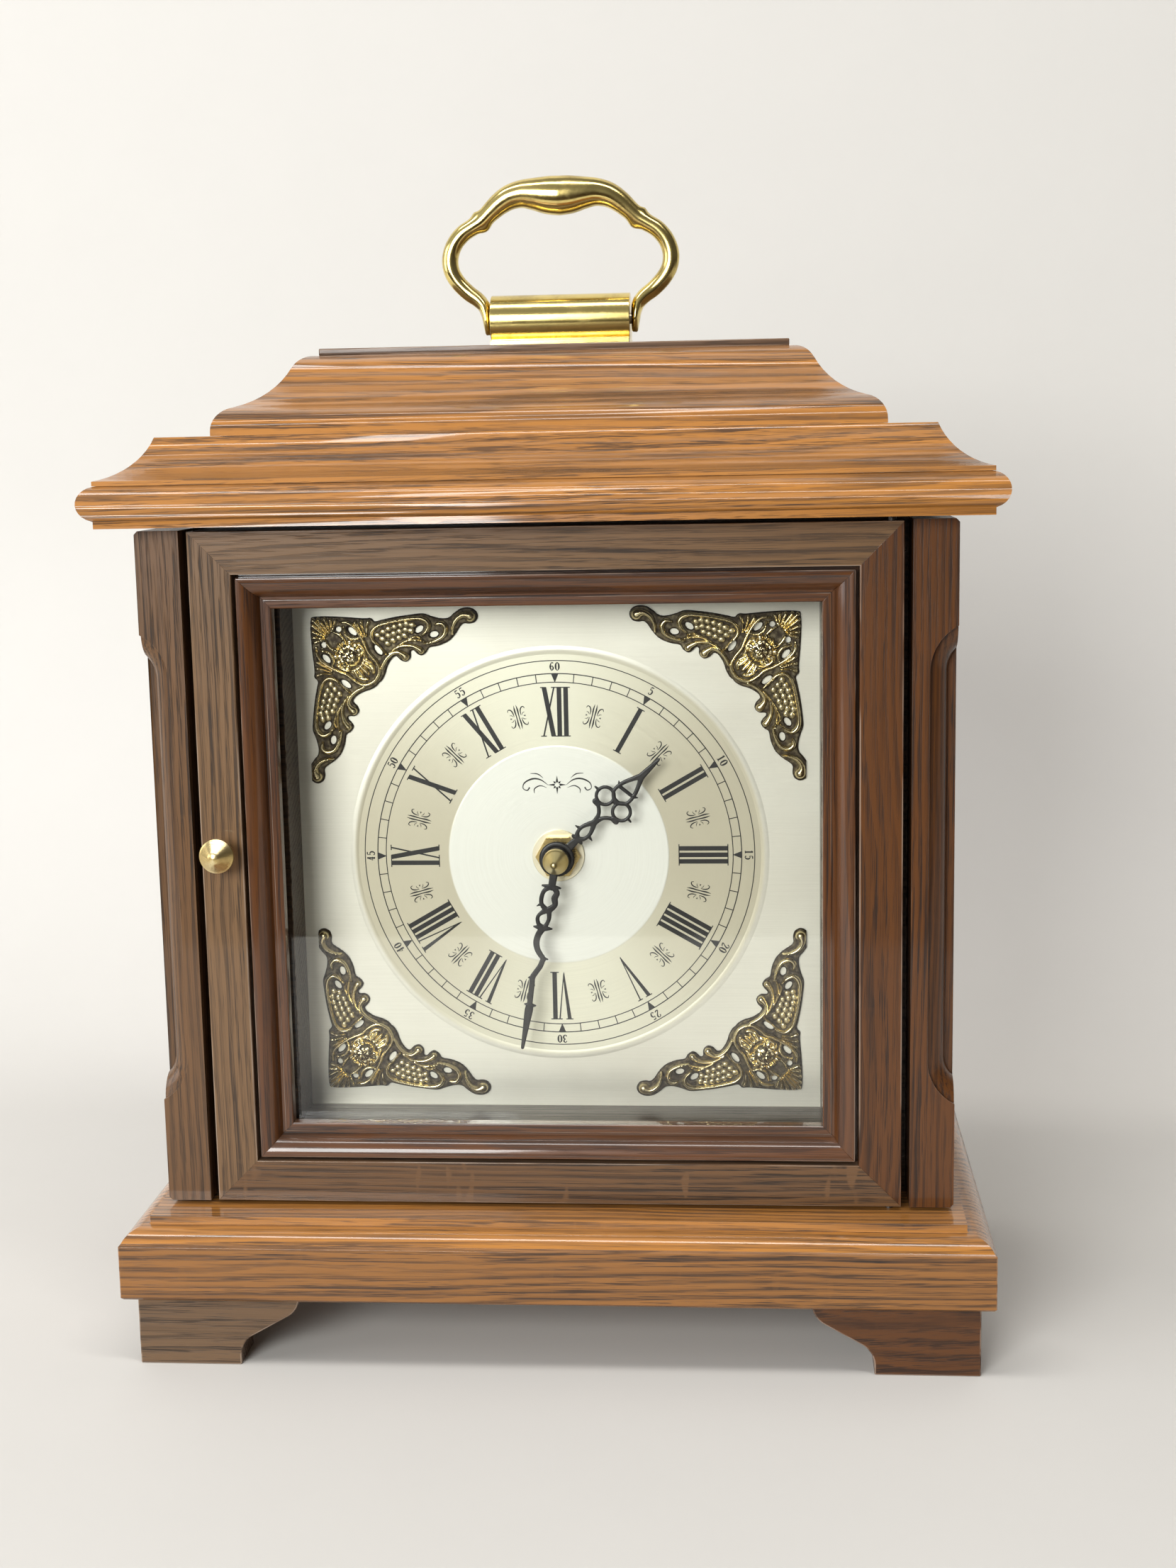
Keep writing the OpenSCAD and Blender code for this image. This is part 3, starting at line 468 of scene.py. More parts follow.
def smoothLine(points, steps=6, closed=False):
    # Catmull-Rom through the points; any further numbers, such as a radius, are carried along
    p = [np.array(q, float) for q in points]
    n = len(p)
    out = []
    for i in range(n if closed else n - 1):
        if closed:
            a, b, c, d = p[i - 1], p[i], p[(i + 1) % n], p[(i + 2) % n]
        else:
            a, b, c, d = p[max(i - 1, 0)], p[i], p[i + 1], p[min(i + 2, n - 1)]
        for k in range(steps):
            t = k / steps
            out.append(0.5 * (2 * b + (c - a) * t + (2 * a - 5 * b + 4 * c - d) * t * t + (3 * b - a - 3 * c + d) * t ** 3))
    if not closed:
        out.append(p[-1])
    return np.array(out)


def strokeDistance(x, y, line):
    # Distance to a line of (x, y, radius), less the radius there, and the distance as a share of the radius
    best = np.full(x.shape, 1e9)
    share = np.full(x.shape, 1e9)
    for a, b in zip(line[:-1], line[1:]):
        dx, dy = b[0] - a[0], b[1] - a[1]
        length = max(dx * dx + dy * dy, 1e-12)
        t = np.clip(((x - a[0]) * dx + (y - a[1]) * dy) / length, 0, 1)
        away = np.hypot(x - a[0] - t * dx, y - a[1] - t * dy)
        radius = a[2] + t * (b[2] - a[2])
        best = np.minimum(best, away - radius)
        share = np.minimum(share, away / np.maximum(radius, 1e-6))
    return best, share


def outlineDistance(x, y, outline):
    # Signed distance to a closed outline, negative inside
    ends = np.roll(outline, -1, axis=0)
    best = np.full(x.shape, 1e9)
    inside = np.zeros(x.shape, bool)
    for a, b in zip(outline, ends):
        dx, dy = b[0] - a[0], b[1] - a[1]
        length = max(dx * dx + dy * dy, 1e-12)
        t = np.clip(((x - a[0]) * dx + (y - a[1]) * dy) / length, 0, 1)
        best = np.minimum(best, np.hypot(x - a[0] - t * dx, y - a[1] - t * dy))
        if abs(dy) > 1e-12:
            crosses = (a[1] > y) != (b[1] > y)
            inside ^= crosses & (x < (y - a[1]) / dy * dx + a[0])
    return np.where(inside, -best, best)


def reliefMesh(shape, corner, size, cell):
    # shape(x, y) gives the signed distance to the outline and the height there, in millimetres
    steps = [max(2, round(s / cell)) for s in size]
    bm = bmesh.new()
    bmesh.ops.create_grid(bm, x_segments=steps[0], y_segments=steps[1], size=0.5)
    bm.verts.ensure_lookup_table()
    flat = np.array([v.co[:2] for v in bm.verts])
    x = corner[0] + (flat[:, 0] + 0.5) * size[0]
    y = corner[1] + (flat[:, 1] + 0.5) * size[1]
    away, height = shape(x, y)
    # draw points that lie close to the outline onto it
    h = cell * 0.05
    gx = (shape(x + h, y)[0] - away) / h
    gy = (shape(x, y + h)[0] - away) / h
    steep = np.maximum(np.hypot(gx, gy), 0.3)
    near = np.abs(away) < cell * 0.55
    x = np.where(near, x - away * gx / steep ** 2, x)
    y = np.where(near, y - away * gy / steep ** 2, y)
    outside = (away > 0) & ~near
    away, height = shape(x, y)
    for v, px, py, pz in zip(bm.verts, x, y, height):
        v.co = (px, py, pz)
    gone = [v for v, out in zip(bm.verts, outside) if out]
    bmesh.ops.delete(bm, geom=gone, context="VERTS")
    loose = [v for v in bm.verts if not v.link_faces]
    bmesh.ops.delete(bm, geom=loose, context="VERTS")
    made = bmesh.ops.extrude_face_region(bm, geom=list(bm.faces))["geom"]
    for v in made:
        if isinstance(v, bmesh.types.BMVert):
            v.co.z = 0
    bmesh.ops.recalc_face_normals(bm, faces=bm.faces)
    return bm


def onDial(level=0.0, turn=0.0, centre=(0.0, 0.0)):
    # Drawing plane to dial: x right, y up, z towards the viewer; millimetres; turn is clockwise
    face = Vector((0, dialLow.y, dialCentre.z))
    stand = Matrix.Rotation(math.pi / 2, 4, "X")
    move = Matrix.Translation((centre[0], centre[1], level))
    return Matrix.Translation(face) @ stand @ Matrix.Scale(mm, 4) @ Matrix.Rotation(-math.radians(turn), 4, "Z") @ move


dialLow, dialHigh, dialCentre = place("dial_plate")

spandrelSettings = {
    "cell": 0.26, "edge": 0.45, "base": 1.1, "corner": 88.0,
    "outline": [(0.3, 0.9), (0.9, 0.3), (5, 0.0), (12, 0.3), (19.4, 0.9), (22.0, 0.8), (23.6, 2.0), (26, 1.5), (31, 0.5), (36, -0.2),
                (41, -0.6), (44.2, 0.4), (47.5, 1.2), (50.2, 1.0), (52.2, -0.6), (54.8, -2.2), (57.8, -2.5), (60.2, -1.3), (60.9, 0.8),
                (59.8, 2.7), (57.8, 3.3), (55.7, 3.2), (54.2, 4.6), (52.6, 7.0), (50.2, 9.4), (46.6, 11.0), (43.2, 11.7),
                (41.9, 13.4), (40.2, 14.5), (38.6, 13.9), (37.2, 12.6), (36.3, 13.1), (36.2, 15.2), (34.6, 16.7), (32.6, 16.2),
                (30.8, 14.7), (29.0, 16.0), (27.5, 18.6), (26.6, 21.4), (25.4, 23.4), (24.3, 24.3)],
    "holes": [((10.3, 4.7), 1.05, 0.95, 0), ((15.3, 5.5), 1.9, 0.95, 42), ((24.5, 12.3), 2.1, 0.95, 52),
              ((39.6, 5.0), 1.7, 1.0, -38), ((44.9, 6.9), 1.6, 1.05, -12)],
    # lines of (x, y, radius), with a height
    "strokes": [
        (1.5, [(6.4, 6.4, 0.35), (1.3, 1.3, 0.75)]), (1.5, [(7.0, 5.9, 0.3), (3.2, 1.0, 0.72)]), (1.5, [(7.5, 5.5, 0.3), (5.5, 1.0, 0.7)]),
        (1.4, [(8.0, 5.3, 0.28), (7.6, 1.2, 0.66)]), (1.2, [(8.3, 5.2, 0.26), (9.4, 1.6, 0.6)]),
        (1.5, [(10.9, 2.3, 0.35), (13.4, 2.2, 0.6), (15.8, 3.6, 0.62), (18.0, 6.6, 0.6), (19.9, 10.0, 0.6), (21.2, 13.2, 0.6), (23.2, 15.6, 0.6),
               (24.7, 18.2, 0.6), (24.6, 20.8, 0.6), (23.2, 23.2, 0.6)]),
        (1.3, [(19.6, 7.6, 0.25), (17.6, 3.9, 0.45), (16.5, 2.3, 0.62)]), (1.3, [(20.2, 7.4, 0.25), (19.0, 3.6, 0.45), (18.8, 2.0, 0.62)]),
        (1.3, [(20.8, 7.4, 0.25), (20.8, 3.8, 0.45), (21.4, 2.1, 0.62)]),
        (1.7, [(27.4, 13.6, 0.5), (24.8, 10.8, 0.6), (22.8, 8.6, 0.62), (22.4, 6.0, 0.62), (24.4, 3.8, 0.62), (28.0, 2.6, 0.62), (33, 1.6, 0.62),
               (38.4, 1.0, 0.75), (41.6, 1.5, 0.95), (43.2, 3.3, 0.9), (42.4, 5.6, 0.6), (40.6, 7.4, 0.3)]),
        (1.6, [(45.9, 3.2, 0.5), (48.0, 3.0, 0.9), (49.3, 4.8, 1.0), (48.4, 7.4, 0.8), (45.4, 9.2, 0.6), (41.4, 10.2, 0.35)]),
        (2.0, [(51.6, 6.8, 0.35), (51.9, 4.2, 0.6), (53.4, 1.4, 0.85), (55.8, 0.0, 1.1), (57.9, 0.4, 1.7), (58.2, 0.6, 1.9)]),
        (1.5, [(25.6, 19.0, 0.5), (27.2, 15.9, 0.6), (29.6, 13.6, 0.65), (32.0, 13.1, 0.75), (34.2, 14.5, 1.3), (34.4, 14.9, 1.4)]),
        (1.4, [(28.6, 13.4, 0.35), (31.0, 11.7, 0.5), (34.0, 10.8, 0.6), (37.2, 11.0, 0.7), (39.8, 12.3, 1.0), (40.2, 12.8, 1.1)]),
        (1.2, [(31.6, 11.0, 0.3), (35.4, 9.0, 0.5), (39.4, 9.0, 0.45), (42.0, 9.6, 0.3)]),
        (1.1, [(36.0, 8.4, 0.3), (38.6, 7.6, 0.4), (40.4, 8.4, 0.3)]),
        (1.2, [(12.4, 3.8, 0.3), (13.2, 6.8, 0.5), (15.8, 8.2, 0.55), (18.4, 7.6, 0.4)]), (1.2, [(8.6, 5.6, 0.3), (10.6, 6.6, 0.6), (12.4, 8.4, 0.45)]),
        (1.2, [(17.8, 9.6, 0.4), (19.0, 12.4, 0.6), (20.4, 15.2, 0.5)]), (1.1, [(11.6, 4.0, 0.3), (10.9, 6.2, 0.4), (11.6, 7.6, 0.3)]),
        (1.3, [(20.6, 15.8, 0.4), (22.6, 18.4, 0.75), (22.6, 20.4, 0.6)]),
    ],
    "feathers": [(24.6, 6.9), (26.7, 5.7), (26.4, 8.3), (28.6, 4.7), (28.5, 7.1), (28.1, 9.9), (30.8, 4.0), (30.5, 6.3), (30.2, 8.8), (33.0, 3.4),
                 (32.6, 5.6), (32.3, 7.9), (35.2, 2.9), (34.8, 5.0), (34.4, 7.1), (37.2, 3.4), (36.8, 5.5)],
    "head": (14.3, 14.3), "ring": 5.4,
}


def headHeight(x, y):
    # A small calm cherub's head of plain proportions, its crown towards the corner of the casting
    cx, cy = spandrelSettings["head"]
    a, b = (x - cx) / math.sqrt(2), (y - cy) / math.sqrt(2)
    up, side = -(a + b), np.abs(a - b)        # up is towards the hair
    dome = 3.9 * np.sqrt(np.clip(1 - (side / 3.6) ** 2 - ((up + 0.1) / 4.1) ** 2, 0, 1))

    def bump(u, s, ru, rs, high):
        return high * np.clip(1 - ((up - u) / ru) ** 2 - ((side - s) / rs) ** 2, 0, 1) ** 0.75

    face = dome * 0.82 + bump(-0.2, 0.0, 1.2, 0.5, 0.75) + bump(-0.95, 0.15, 0.45, 0.55, 0.35)
    face += bump(-1.1, 1.75, 1.2, 1.1, 0.4) + bump(0.95, 1.35, 0.42, 1.1, 0.3)
    face -= bump(0.3, 1.35, 0.42, 0.75, 0.42)
    face += bump(0.28, 1.35, 0.2, 0.5, 0.22)
    face += bump(-1.85, 0.0, 0.26, 0.8, 0.26) + bump(-2.75, 0.0, 0.6, 0.75, 0.3) - bump(-1.5, 0.0, 0.16, 0.9, 0.12)
    face = np.where(dome > 0, face, 0)
    hair = np.zeros(x.shape)
    for angle, reach in [(0, 5.6), (26, 5.9), (52, 5.8), (78, 5.4), (102, 4.9), (124, 4.4)]:
        s, c = math.sin(math.radians(angle)), math.cos(math.radians(angle))
        for part, radius, high in ((0.64, 1.2, 2.7), (0.95, 1.1, 2.1)):
            away = np.hypot(side - s * reach * part * 0.86, up - c * reach * part)
            curl = 0.5 + 0.5 * np.cos(away * 5.2 + angle)
            hair = np.maximum(hair, high * np.sqrt(np.clip(1 - (away / radius) ** 2, 0, 1)) * (0.82 + 0.18 * curl))
    fringe = np.where((up > 1.55 - 0.25 * side) & (dome > 0), dome * 0.9 + 0.35 * np.cos(side * 4.2), 0)
    ruff = np.zeros(x.shape)
    for angle in (0, 30, 60):
        s, c = math.sin(math.radians(angle)), math.cos(math.radians(angle))
        line = smoothLine([(s * 3.0, -4.4 - c * 0.6, 0.5), (s * 3.6, -5.4 - c * 2.2, 0.85), (s * 4.0, -5.8 - c * 3.4, 0.6)], 3)
        ruff = np.maximum(ruff, 1.5 * np.sqrt(np.clip(1 - strokeDistance(side, up, line)[1] ** 2, 0, 1)))
    return np.maximum(np.maximum(face, fringe), np.maximum(hair, ruff))


def makeSpandrelShape():
    s = spandrelSettings
    half = smoothLine([(x, y) for x, y in s["outline"]], 4)
    outline = np.vstack([half, half[::-1][1:-1, ::-1]])
    strokes = [(high, smoothLine(line, 5)) for high, line in s["strokes"]]

    def shape(x, y):
        fx, fy = np.maximum(x, y), np.minimum(x, y)
        away = outlineDistance(x, y, outline)
        for (hx, hy), rx, ry, turn in s["holes"]:
            c, n = math.cos(math.radians(turn)), math.sin(math.radians(turn))
            dx, dy = fx - hx, fy - hy
            hole = np.hypot((dx * c + dy * n) / rx, (-dx * n + dy * c) / ry)
            away = np.maximum(away, (1 - hole) * min(rx, ry))
        rise = np.clip(-away / s["edge"], 0, 1)
        height = s["base"] * (0.45 + 0.55 * np.sqrt(np.clip(1 - (1 - rise) ** 2, 0, 1)))
        top = np.zeros(x.shape)
        for high, line in strokes:
            share = strokeDistance(fx, fy, line)[1]
            top = np.maximum(top, high * np.sqrt(np.clip(1 - share ** 2, 0, 1)))
        for px, py in s["feathers"]:
            r = np.hypot((fx - px) / 1.25, (fy - py) / 1.05)
            top = np.maximum(top, 0.95 * np.sqrt(np.clip(1 - r ** 2, 0, 1)) * (0.75 + 0.25 * np.clip(r, 0, 1)))
        cx, cy = s["head"]
        ring = np.abs(np.hypot(x - cx, y - cy) - s["ring"]) / 0.55
        lower = np.clip(((x - cx) + (y - cy)) / 3.0 + 1.2, 0, 1)
        top = np.maximum(top, 1.4 * lower * np.sqrt(np.clip(1 - ring ** 2, 0, 1)))
        top = np.maximum(top, headHeight(x, y))
        return away, height + top * np.clip(rise * 1.5, 0, 1)

    return shape


def antiqueMaterial():
    # Bright on what stands proud, dark in the ground of the casting: a stain in the hollows, together with painted
    # shade there
    material, tree, shader, source = startMaterial("antiqueBrass")
    where = inMillimetres(tree, source)
    split = addNode(tree, "ShaderNodeSeparateXYZ")
    link(tree, where, split.inputs[0])
    level = mathNode(tree, "SUBTRACT", dialLow.y / mm, split.outputs[1])
    maskJitter = stretched(tree, where, (0.7, 0.7, 0.7), detail=4.0)
    level = mathNode(tree, "ADD", level, mathNode(tree, "MULTIPLY_ADD", maskJitter, 0.9, -0.45))
    proud = mapRange(tree, level, 0.95, 2.1)
    wear = useGroup(tree, metalGroup, {"Clean Color": (0.93, 0.79, 0.46), "Tarnish Color": (0.55, 0.40, 0.20), "Tarnish": 0.4,
                                       "Roughness": 0.22}, Vector=where)
    # the low ground is near-black brown: stain in the hollows, together with painted shade
    link(tree, mixColor(tree, proud, (0.032, 0.020, 0.010), wear.outputs["Color"]), shader.inputs["Base Color"])
    link(tree, mathNode(tree, "MULTIPLY_ADD", proud, -0.25, mathNode(tree, "ADD", wear.outputs["Roughness"], 0.25)),
         shader.inputs["Roughness"])
    link(tree, mathNode(tree, "MULTIPLY_ADD", proud, 0.35, 0.65), shader.inputs["Metallic"])
    addBump(tree, shader, wear.outputs["Height"], 0.15, 0.0001)
    return material


antique = antiqueMaterial()
spandrelShape = makeSpandrelShape()
cornerSigns = {"top_left": (-1, 1), "top_right": (1, 1), "bottom_left": (-1, -1), "bottom_right": (1, -1)}
reach = spandrelSettings["corner"]
pattern = bpy.data.meshes.new("cornerPattern")
cast = reliefMesh(spandrelShape, (-1.5, -4.5), (63.5, 66.5), spandrelSettings["cell"])
cast.to_mesh(pattern)
cast.free()
for corner, (sx, sy) in cornerSigns.items():
    node = "spandrel_" + corner
    bm = bmesh.new()
    bm.from_mesh(pattern)
    # from the corner inwards: x along the edge, y down
    flip = Matrix(((-sx, 0, 0, sx * reach), (0, -sy, 0, sy * reach), (0, 0, 1, 0), (0, 0, 0, 1)))
    bmesh.ops.transform(bm, matrix=onDial() @ flip, verts=bm.verts)
    bmesh.ops.recalc_face_normals(bm, faces=bm.faces)
    piece = finishPiece(node + "_casting", bm, antique, bodyOf[node], smooth=60)
    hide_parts(node)
bpy.data.meshes.remove(pattern)
print("corner castings modelled:", len(cornerSigns))


# Dial: brushed plate, and the print on it as a thin layer of ink

dialSettings = {
    "rim": 75.0, "disc": 40.2, "ink": 0.05,
    "rings": [(71.1, 0.32), (66.4, 0.36), (63.3, 0.32)],
    "digits": 69.0, "numerals": (43.6, 61.6), "ornaments": 52.5,
}


def dialMaterial():
    # Brushed in circles round the middle, with a whiter middle, a rolled rim and painted sheen fans on the ring
    material, tree, shader, source = startMaterial("brushedDial")
    where = inMillimetres(tree, source, (0, 0, 0), dialCentre)
    split = addNode(tree, "ShaderNodeSeparateXYZ")
    link(tree, where, split.inputs[0])
    x, z = split.outputs[0], split.outputs[2]
    radius = mathNode(tree, "SQRT", mathNode(tree, "MULTIPLY_ADD", x, x, mathNode(tree, "MULTIPLY", z, z)))
    angle = mathNode(tree, "ARCTAN2", x, z)
    middle = mapRange(tree, radius, dialSettings["disc"] - 0.5, dialSettings["disc"] + 0.3, 1.0, 0.0)
    plate = mapRange(tree, radius, dialSettings["rim"] - 1.2, dialSettings["rim"] + 0.6)
    turned = addNode(tree, "ShaderNodeCombineXYZ")
    link(tree, mathNode(tree, "MULTIPLY", radius, 3.4), turned.inputs[0])
    link(tree, mathNode(tree, "MULTIPLY", angle, 0.8), turned.inputs[1])
    circles = addNode(tree, "ShaderNodeTexNoise")
    setInputs(circles, {"Scale": 1.0, "Detail": 3.0})
    link(tree, turned.outputs[0], circles.inputs["Vector"])
    straight = stretched(tree, where, (0.03, 1.0, 4.0), detail=3.0)
    grain = mixColor(tree, plate, circles.outputs["Fac"], straight)
    # painted sheen of turned metal: two bright fans and two dull ones, painted into the colour of the ring
    paintedSheenFan = mathNode(tree, "MULTIPLY_ADD", mathNode(tree, "COSINE", mathNode(tree, "MULTIPLY_ADD", angle, 2.0, 0.25)), 0.5, 0.5)
    paintedSheenFan = mathNode(tree, "MULTIPLY", mathNode(tree, "POWER", paintedSheenFan, 1.6), mathNode(tree, "SUBTRACT", 1.0, plate))
    cloud = stretched(tree, where, (0.012, 0.012, 0.012), detail=3.0)
    ringTone = mixColor(tree, mathNode(tree, "MULTIPLY_ADD", paintedSheenFan, 0.75, mathNode(tree, "MULTIPLY", cloud, 0.25)),
                        (0.62, 0.56, 0.41), (0.97, 0.94, 0.76))
    tone = mixColor(tree, plate, ringTone, mixColor(tree, mapRange(tree, cloud, 0.35, 0.7), (0.86, 0.82, 0.70), (0.94, 0.91, 0.79)))
    tone = mixColor(tree, middle, tone, (0.98, 0.97, 0.88))
    tone = mixColor(tree, mathNode(tree, "MULTIPLY", mapRange(tree, grain, 0.35, 0.7), 0.10), tone, (0.50, 0.46, 0.36))
    link(tree, tone, shader.inputs["Base Color"])
    link(tree, mathNode(tree, "MULTIPLY_ADD", grain, 0.22, 0.26), shader.inputs["Roughness"])
    shader.inputs["Metallic"].default_value = 0.45
    # steps pressed into the metal at the rim and round the middle
    roll = mathNode(tree, "SINE", mathNode(tree, "MULTIPLY", mapRange(tree, radius, 73.4, 76.4, smooth=False), math.pi))
    step = mathNode(tree, "MULTIPLY_ADD", middle, 0.2, mathNode(tree, "MULTIPLY", roll, 0.5))
    height = mathNode(tree, "MULTIPLY_ADD", grain, 0.012, step)
    addBump(tree, shader, height, 0.5, 0.0006)
    return material


plate = easeEdges(fromNode("dial_plate"), 0.2, 0)
piece = finishPiece("dial_plate_metal", plate, dialMaterial(), bodyOf["dial_plate"], weighted=True)
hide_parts("dial_plate")

ink = bmesh.new()
inkCount = [0]


def raiseInk(verts, frameMatrix):
    # Thicken a flat print; each stroke is a hair thicker than the last, so that none coincide
    inkCount[0] += 1
    level = dialSettings["ink"] + 0.00006 * inkCount[0]
    faces = list({f for v in verts for f in v.link_faces})
    made = bmesh.ops.extrude_face_region(ink, geom=faces)["geom"]
    raised = [g for g in made if isinstance(g, bmesh.types.BMVert)]
    bmesh.ops.translate(ink, vec=(0, 0, level), verts=raised)
    bmesh.ops.transform(ink, matrix=onDial() @ frameMatrix, verts=list(set(verts) | set(raised)))


def inkShape(points, frameMatrix):
    # A straight-sided shape from its corners in order
    made = bmesh.ops.create_circle(ink, cap_ends=True, segments=len(points), radius=1)["verts"]
    for v, p in zip(made, points):
        v.co = (p[0], p[1], 0)
    raiseInk(made, frameMatrix)


def inkRibbon(line, frameMatrix):
    # A pen stroke from (x, y, half width) points
    line = np.array(line, float)
    made = bmesh.ops.create_grid(ink, x_segments=len(line) - 1, y_segments=1, size=0.5)["verts"]
    along = np.gradient(line[:, :2], axis=0)
    along /= np.maximum(np.linalg.norm(along, axis=1), 1e-9)[:, None]
    for v in made:
        i = round((v.co.x + 0.5) * (len(line) - 1))
        side = 1 if v.co.y > 0 else -1
        v.co = (line[i, 0] - along[i, 1] * line[i, 2] * side, line[i, 1] + along[i, 0] * line[i, 2] * side, 0)
    raiseInk(made, frameMatrix)


def inkCircle(radius, width):
    inner = bmesh.ops.create_circle(ink, segments=180, radius=radius - width / 2)["verts"]
    outer = bmesh.ops.create_circle(ink, segments=180, radius=radius + width / 2)["verts"]
    edges = list({e for v in inner + outer for e in v.link_edges})
    bmesh.ops.bridge_loops(ink, edges=edges)
    raiseInk(inner + outer, Matrix())


def around(hourAngle, radius, mirror=False):
    turn = Matrix.Rotation(-math.radians(hourAngle), 4, "Z") @ Matrix.Translation((0, radius, 0))
    return turn @ Matrix.Scale(-1, 4, (1, 0, 0)) if mirror else turn


def romanNumeral(text, hourAngle):
    low, high = dialSettings["numerals"]
    spot = around(hourAngle, low)
    tall, stem, serif = high - low, 0.83, 0.36
    wide = {"I": 2.4, "V": 4.9, "X": 5.2}
    x = -sum(wide[c] for c in text) / 2
    for letter in text:
        c = x + wide[letter] / 2
        w = wide[letter]
        if letter == "I":
            inkShape([(c - stem, 0.1), (c + stem, 0.1), (c + stem, tall - 0.1), (c - stem, tall - 0.1)], spot)
            for y in (0, tall - serif):
                inkShape([(c - 1.55, y), (c + 1.55, y), (c + 1.55, y + serif), (c - 1.55, y + serif)], spot)
        elif letter == "V":
            top = tall - 0.1
            inkShape([(c + 0.15, 0), (c + 0.62, 1.6), (c - 0.95, top), (c - 2.35, top)], spot)
            inkShape([(c + 0.1, 0), (c + 0.45, 0.5), (c + 2.25, top), (c + 1.75, top)], spot)
            for a, b in ((-2.95, -0.35), (1.0, 2.9)):
                inkShape([(c + a, tall - serif), (c + b, tall - serif), (c + b, tall), (c + a, tall)], spot)
        else:
            inkShape([(c + 0.75, 0.1), (c + 2.45, 0.1), (c - 0.75, tall - 0.1), (c - 2.45, tall - 0.1)], spot)
            inkShape([(c - 2.25, 0.1), (c - 1.7, 0.1), (c + 2.25, tall - 0.1), (c + 1.7, tall - 0.1)], spot)
            for y in (0, tall - serif):
                for a, b in ((-2.95, -0.9), (0.95, 2.95)):
                    inkShape([(c + a, y), (c + b, y), (c + b, y + serif), (c + a, y + serif)], spot)
        x += w


# each figure in a box 1 wide and 2 high, as pen strokes of (x, y, half width)
figureStrokes = {
    "0": [[(0.5, 2.0, 0.06), (0.12, 1.55, 0.16), (0.08, 1.0, 0.2), (0.12, 0.45, 0.16), (0.5, 0.0, 0.06), (0.88, 0.45, 0.16), (0.92, 1.0, 0.2),
           (0.88, 1.55, 0.16), (0.5, 2.0, 0.06)]],
    "1": [[(0.5, 0.0, 0.17), (0.5, 1.0, 0.17), (0.5, 2.0, 0.17)], [(0.15, 1.62, 0.05), (0.5, 1.95, 0.1)], [(0.1, 0.05, 0.06), (0.9, 0.05, 0.06)]],
    "2": [[(0.1, 1.45, 0.16), (0.2, 1.85, 0.08), (0.55, 2.0, 0.07), (0.9, 1.6, 0.17), (0.7, 1.05, 0.12), (0.15, 0.2, 0.07)],
          [(0.1, 0.12, 0.1), (0.5, 0.12, 0.13), (0.92, 0.22, 0.1), (0.98, 0.45, 0.04)]],
    "3": [[(0.12, 1.6, 0.14), (0.35, 1.95, 0.07), (0.8, 1.75, 0.15), (0.78, 1.3, 0.12), (0.4, 1.08, 0.05)],
          [(0.4, 1.08, 0.05), (0.88, 0.85, 0.15), (0.9, 0.35, 0.16), (0.5, 0.0, 0.07), (0.1, 0.35, 0.15)]],
    "4": [[(0.66, 0.0, 0.17), (0.66, 2.0, 0.17)], [(0.66, 1.95, 0.06), (0.06, 0.62, 0.05)], [(0.04, 0.6, 0.06), (1.0, 0.6, 0.06)],
          [(0.38, 0.05, 0.06), (0.94, 0.05, 0.06)]],
    "5": [[(0.2, 1.88, 0.12), (0.9, 1.92, 0.1)], [(0.2, 1.9, 0.05), (0.16, 1.1, 0.05)],
          [(0.16, 1.1, 0.05), (0.5, 1.28, 0.08), (0.9, 0.95, 0.16), (0.86, 0.35, 0.15), (0.45, 0.0, 0.07), (0.1, 0.3, 0.15)]],
    "6": [[(0.85, 1.75, 0.14), (0.55, 2.0, 0.06), (0.15, 1.4, 0.14), (0.1, 0.7, 0.18), (0.45, 0.0, 0.07), (0.88, 0.55, 0.16),
           (0.55, 1.15, 0.07), (0.15, 0.75, 0.08)]],
}
hourNames = ["XII", "I", "II", "III", "IIII", "V", "VI", "VII", "VIII", "IX", "X", "XI"]

for radius, width in dialSettings["rings"]:
    inkCircle(radius, width)
for minute in range(60):
    spot = around(minute * 6, 0)
    if minute % 5:
        inkShape([(-0.16, 63.2), (0.16, 63.2), (0.16, 66.5), (-0.16, 66.5)], spot)
for hour, name in enumerate(hourNames):
    romanNumeral(name, hour * 30)
    spot = around(hour * 30, 0)
    inkShape([(-1.35, 66.4), (0, 63.1), (1.35, 66.4)], spot)
    figures = str(hour * 5 or 60)
    for i, figure in enumerate(figures):
        shift = (i - (len(figures) - 1) / 2) * 1.95 - 0.67
        for stroke in figureStrokes[figure]:
            line = [(shift + p[0] * 1.35, (p[1] - 1) * 1.45, p[2] * 1.45 + 0.035) for p in stroke]
            inkRibbon(smoothLine(line, 3) if len(line) > 2 else line, around(hour * 30, dialSettings["digits"]))
    for mirror in (False, True):
        spot = around(hour * 30 + 15, dialSettings["ornaments"], mirror)
        inkRibbon(smoothLine([(0.4, 4.5, 0.04), (0.55, 2.6, 0.26), (0.45, 0, 0.17), (0.55, -2.6, 0.26), (0.4, -4.5, 0.04)], 3), spot)
        for s in (1, -1):
            inkRibbon(smoothLine([(1.3, 0.5 * s, 0.08), (1.4, 2.0 * s, 0.2), (1.95, 3.1 * s, 0.2), (2.8, 3.35 * s, 0.15), (3.15, 2.6 * s, 0.1)], 3), spot)
            inkRibbon(smoothLine([(1.6, 0.55 * s, 0.05), (2.1, 1.15 * s, 0.12), (2.8, 1.3 * s, 0.04)], 3), spot)
        inkShape([(2.1, 0.0), (2.8, 0.32), (2.8, -0.32)], spot)
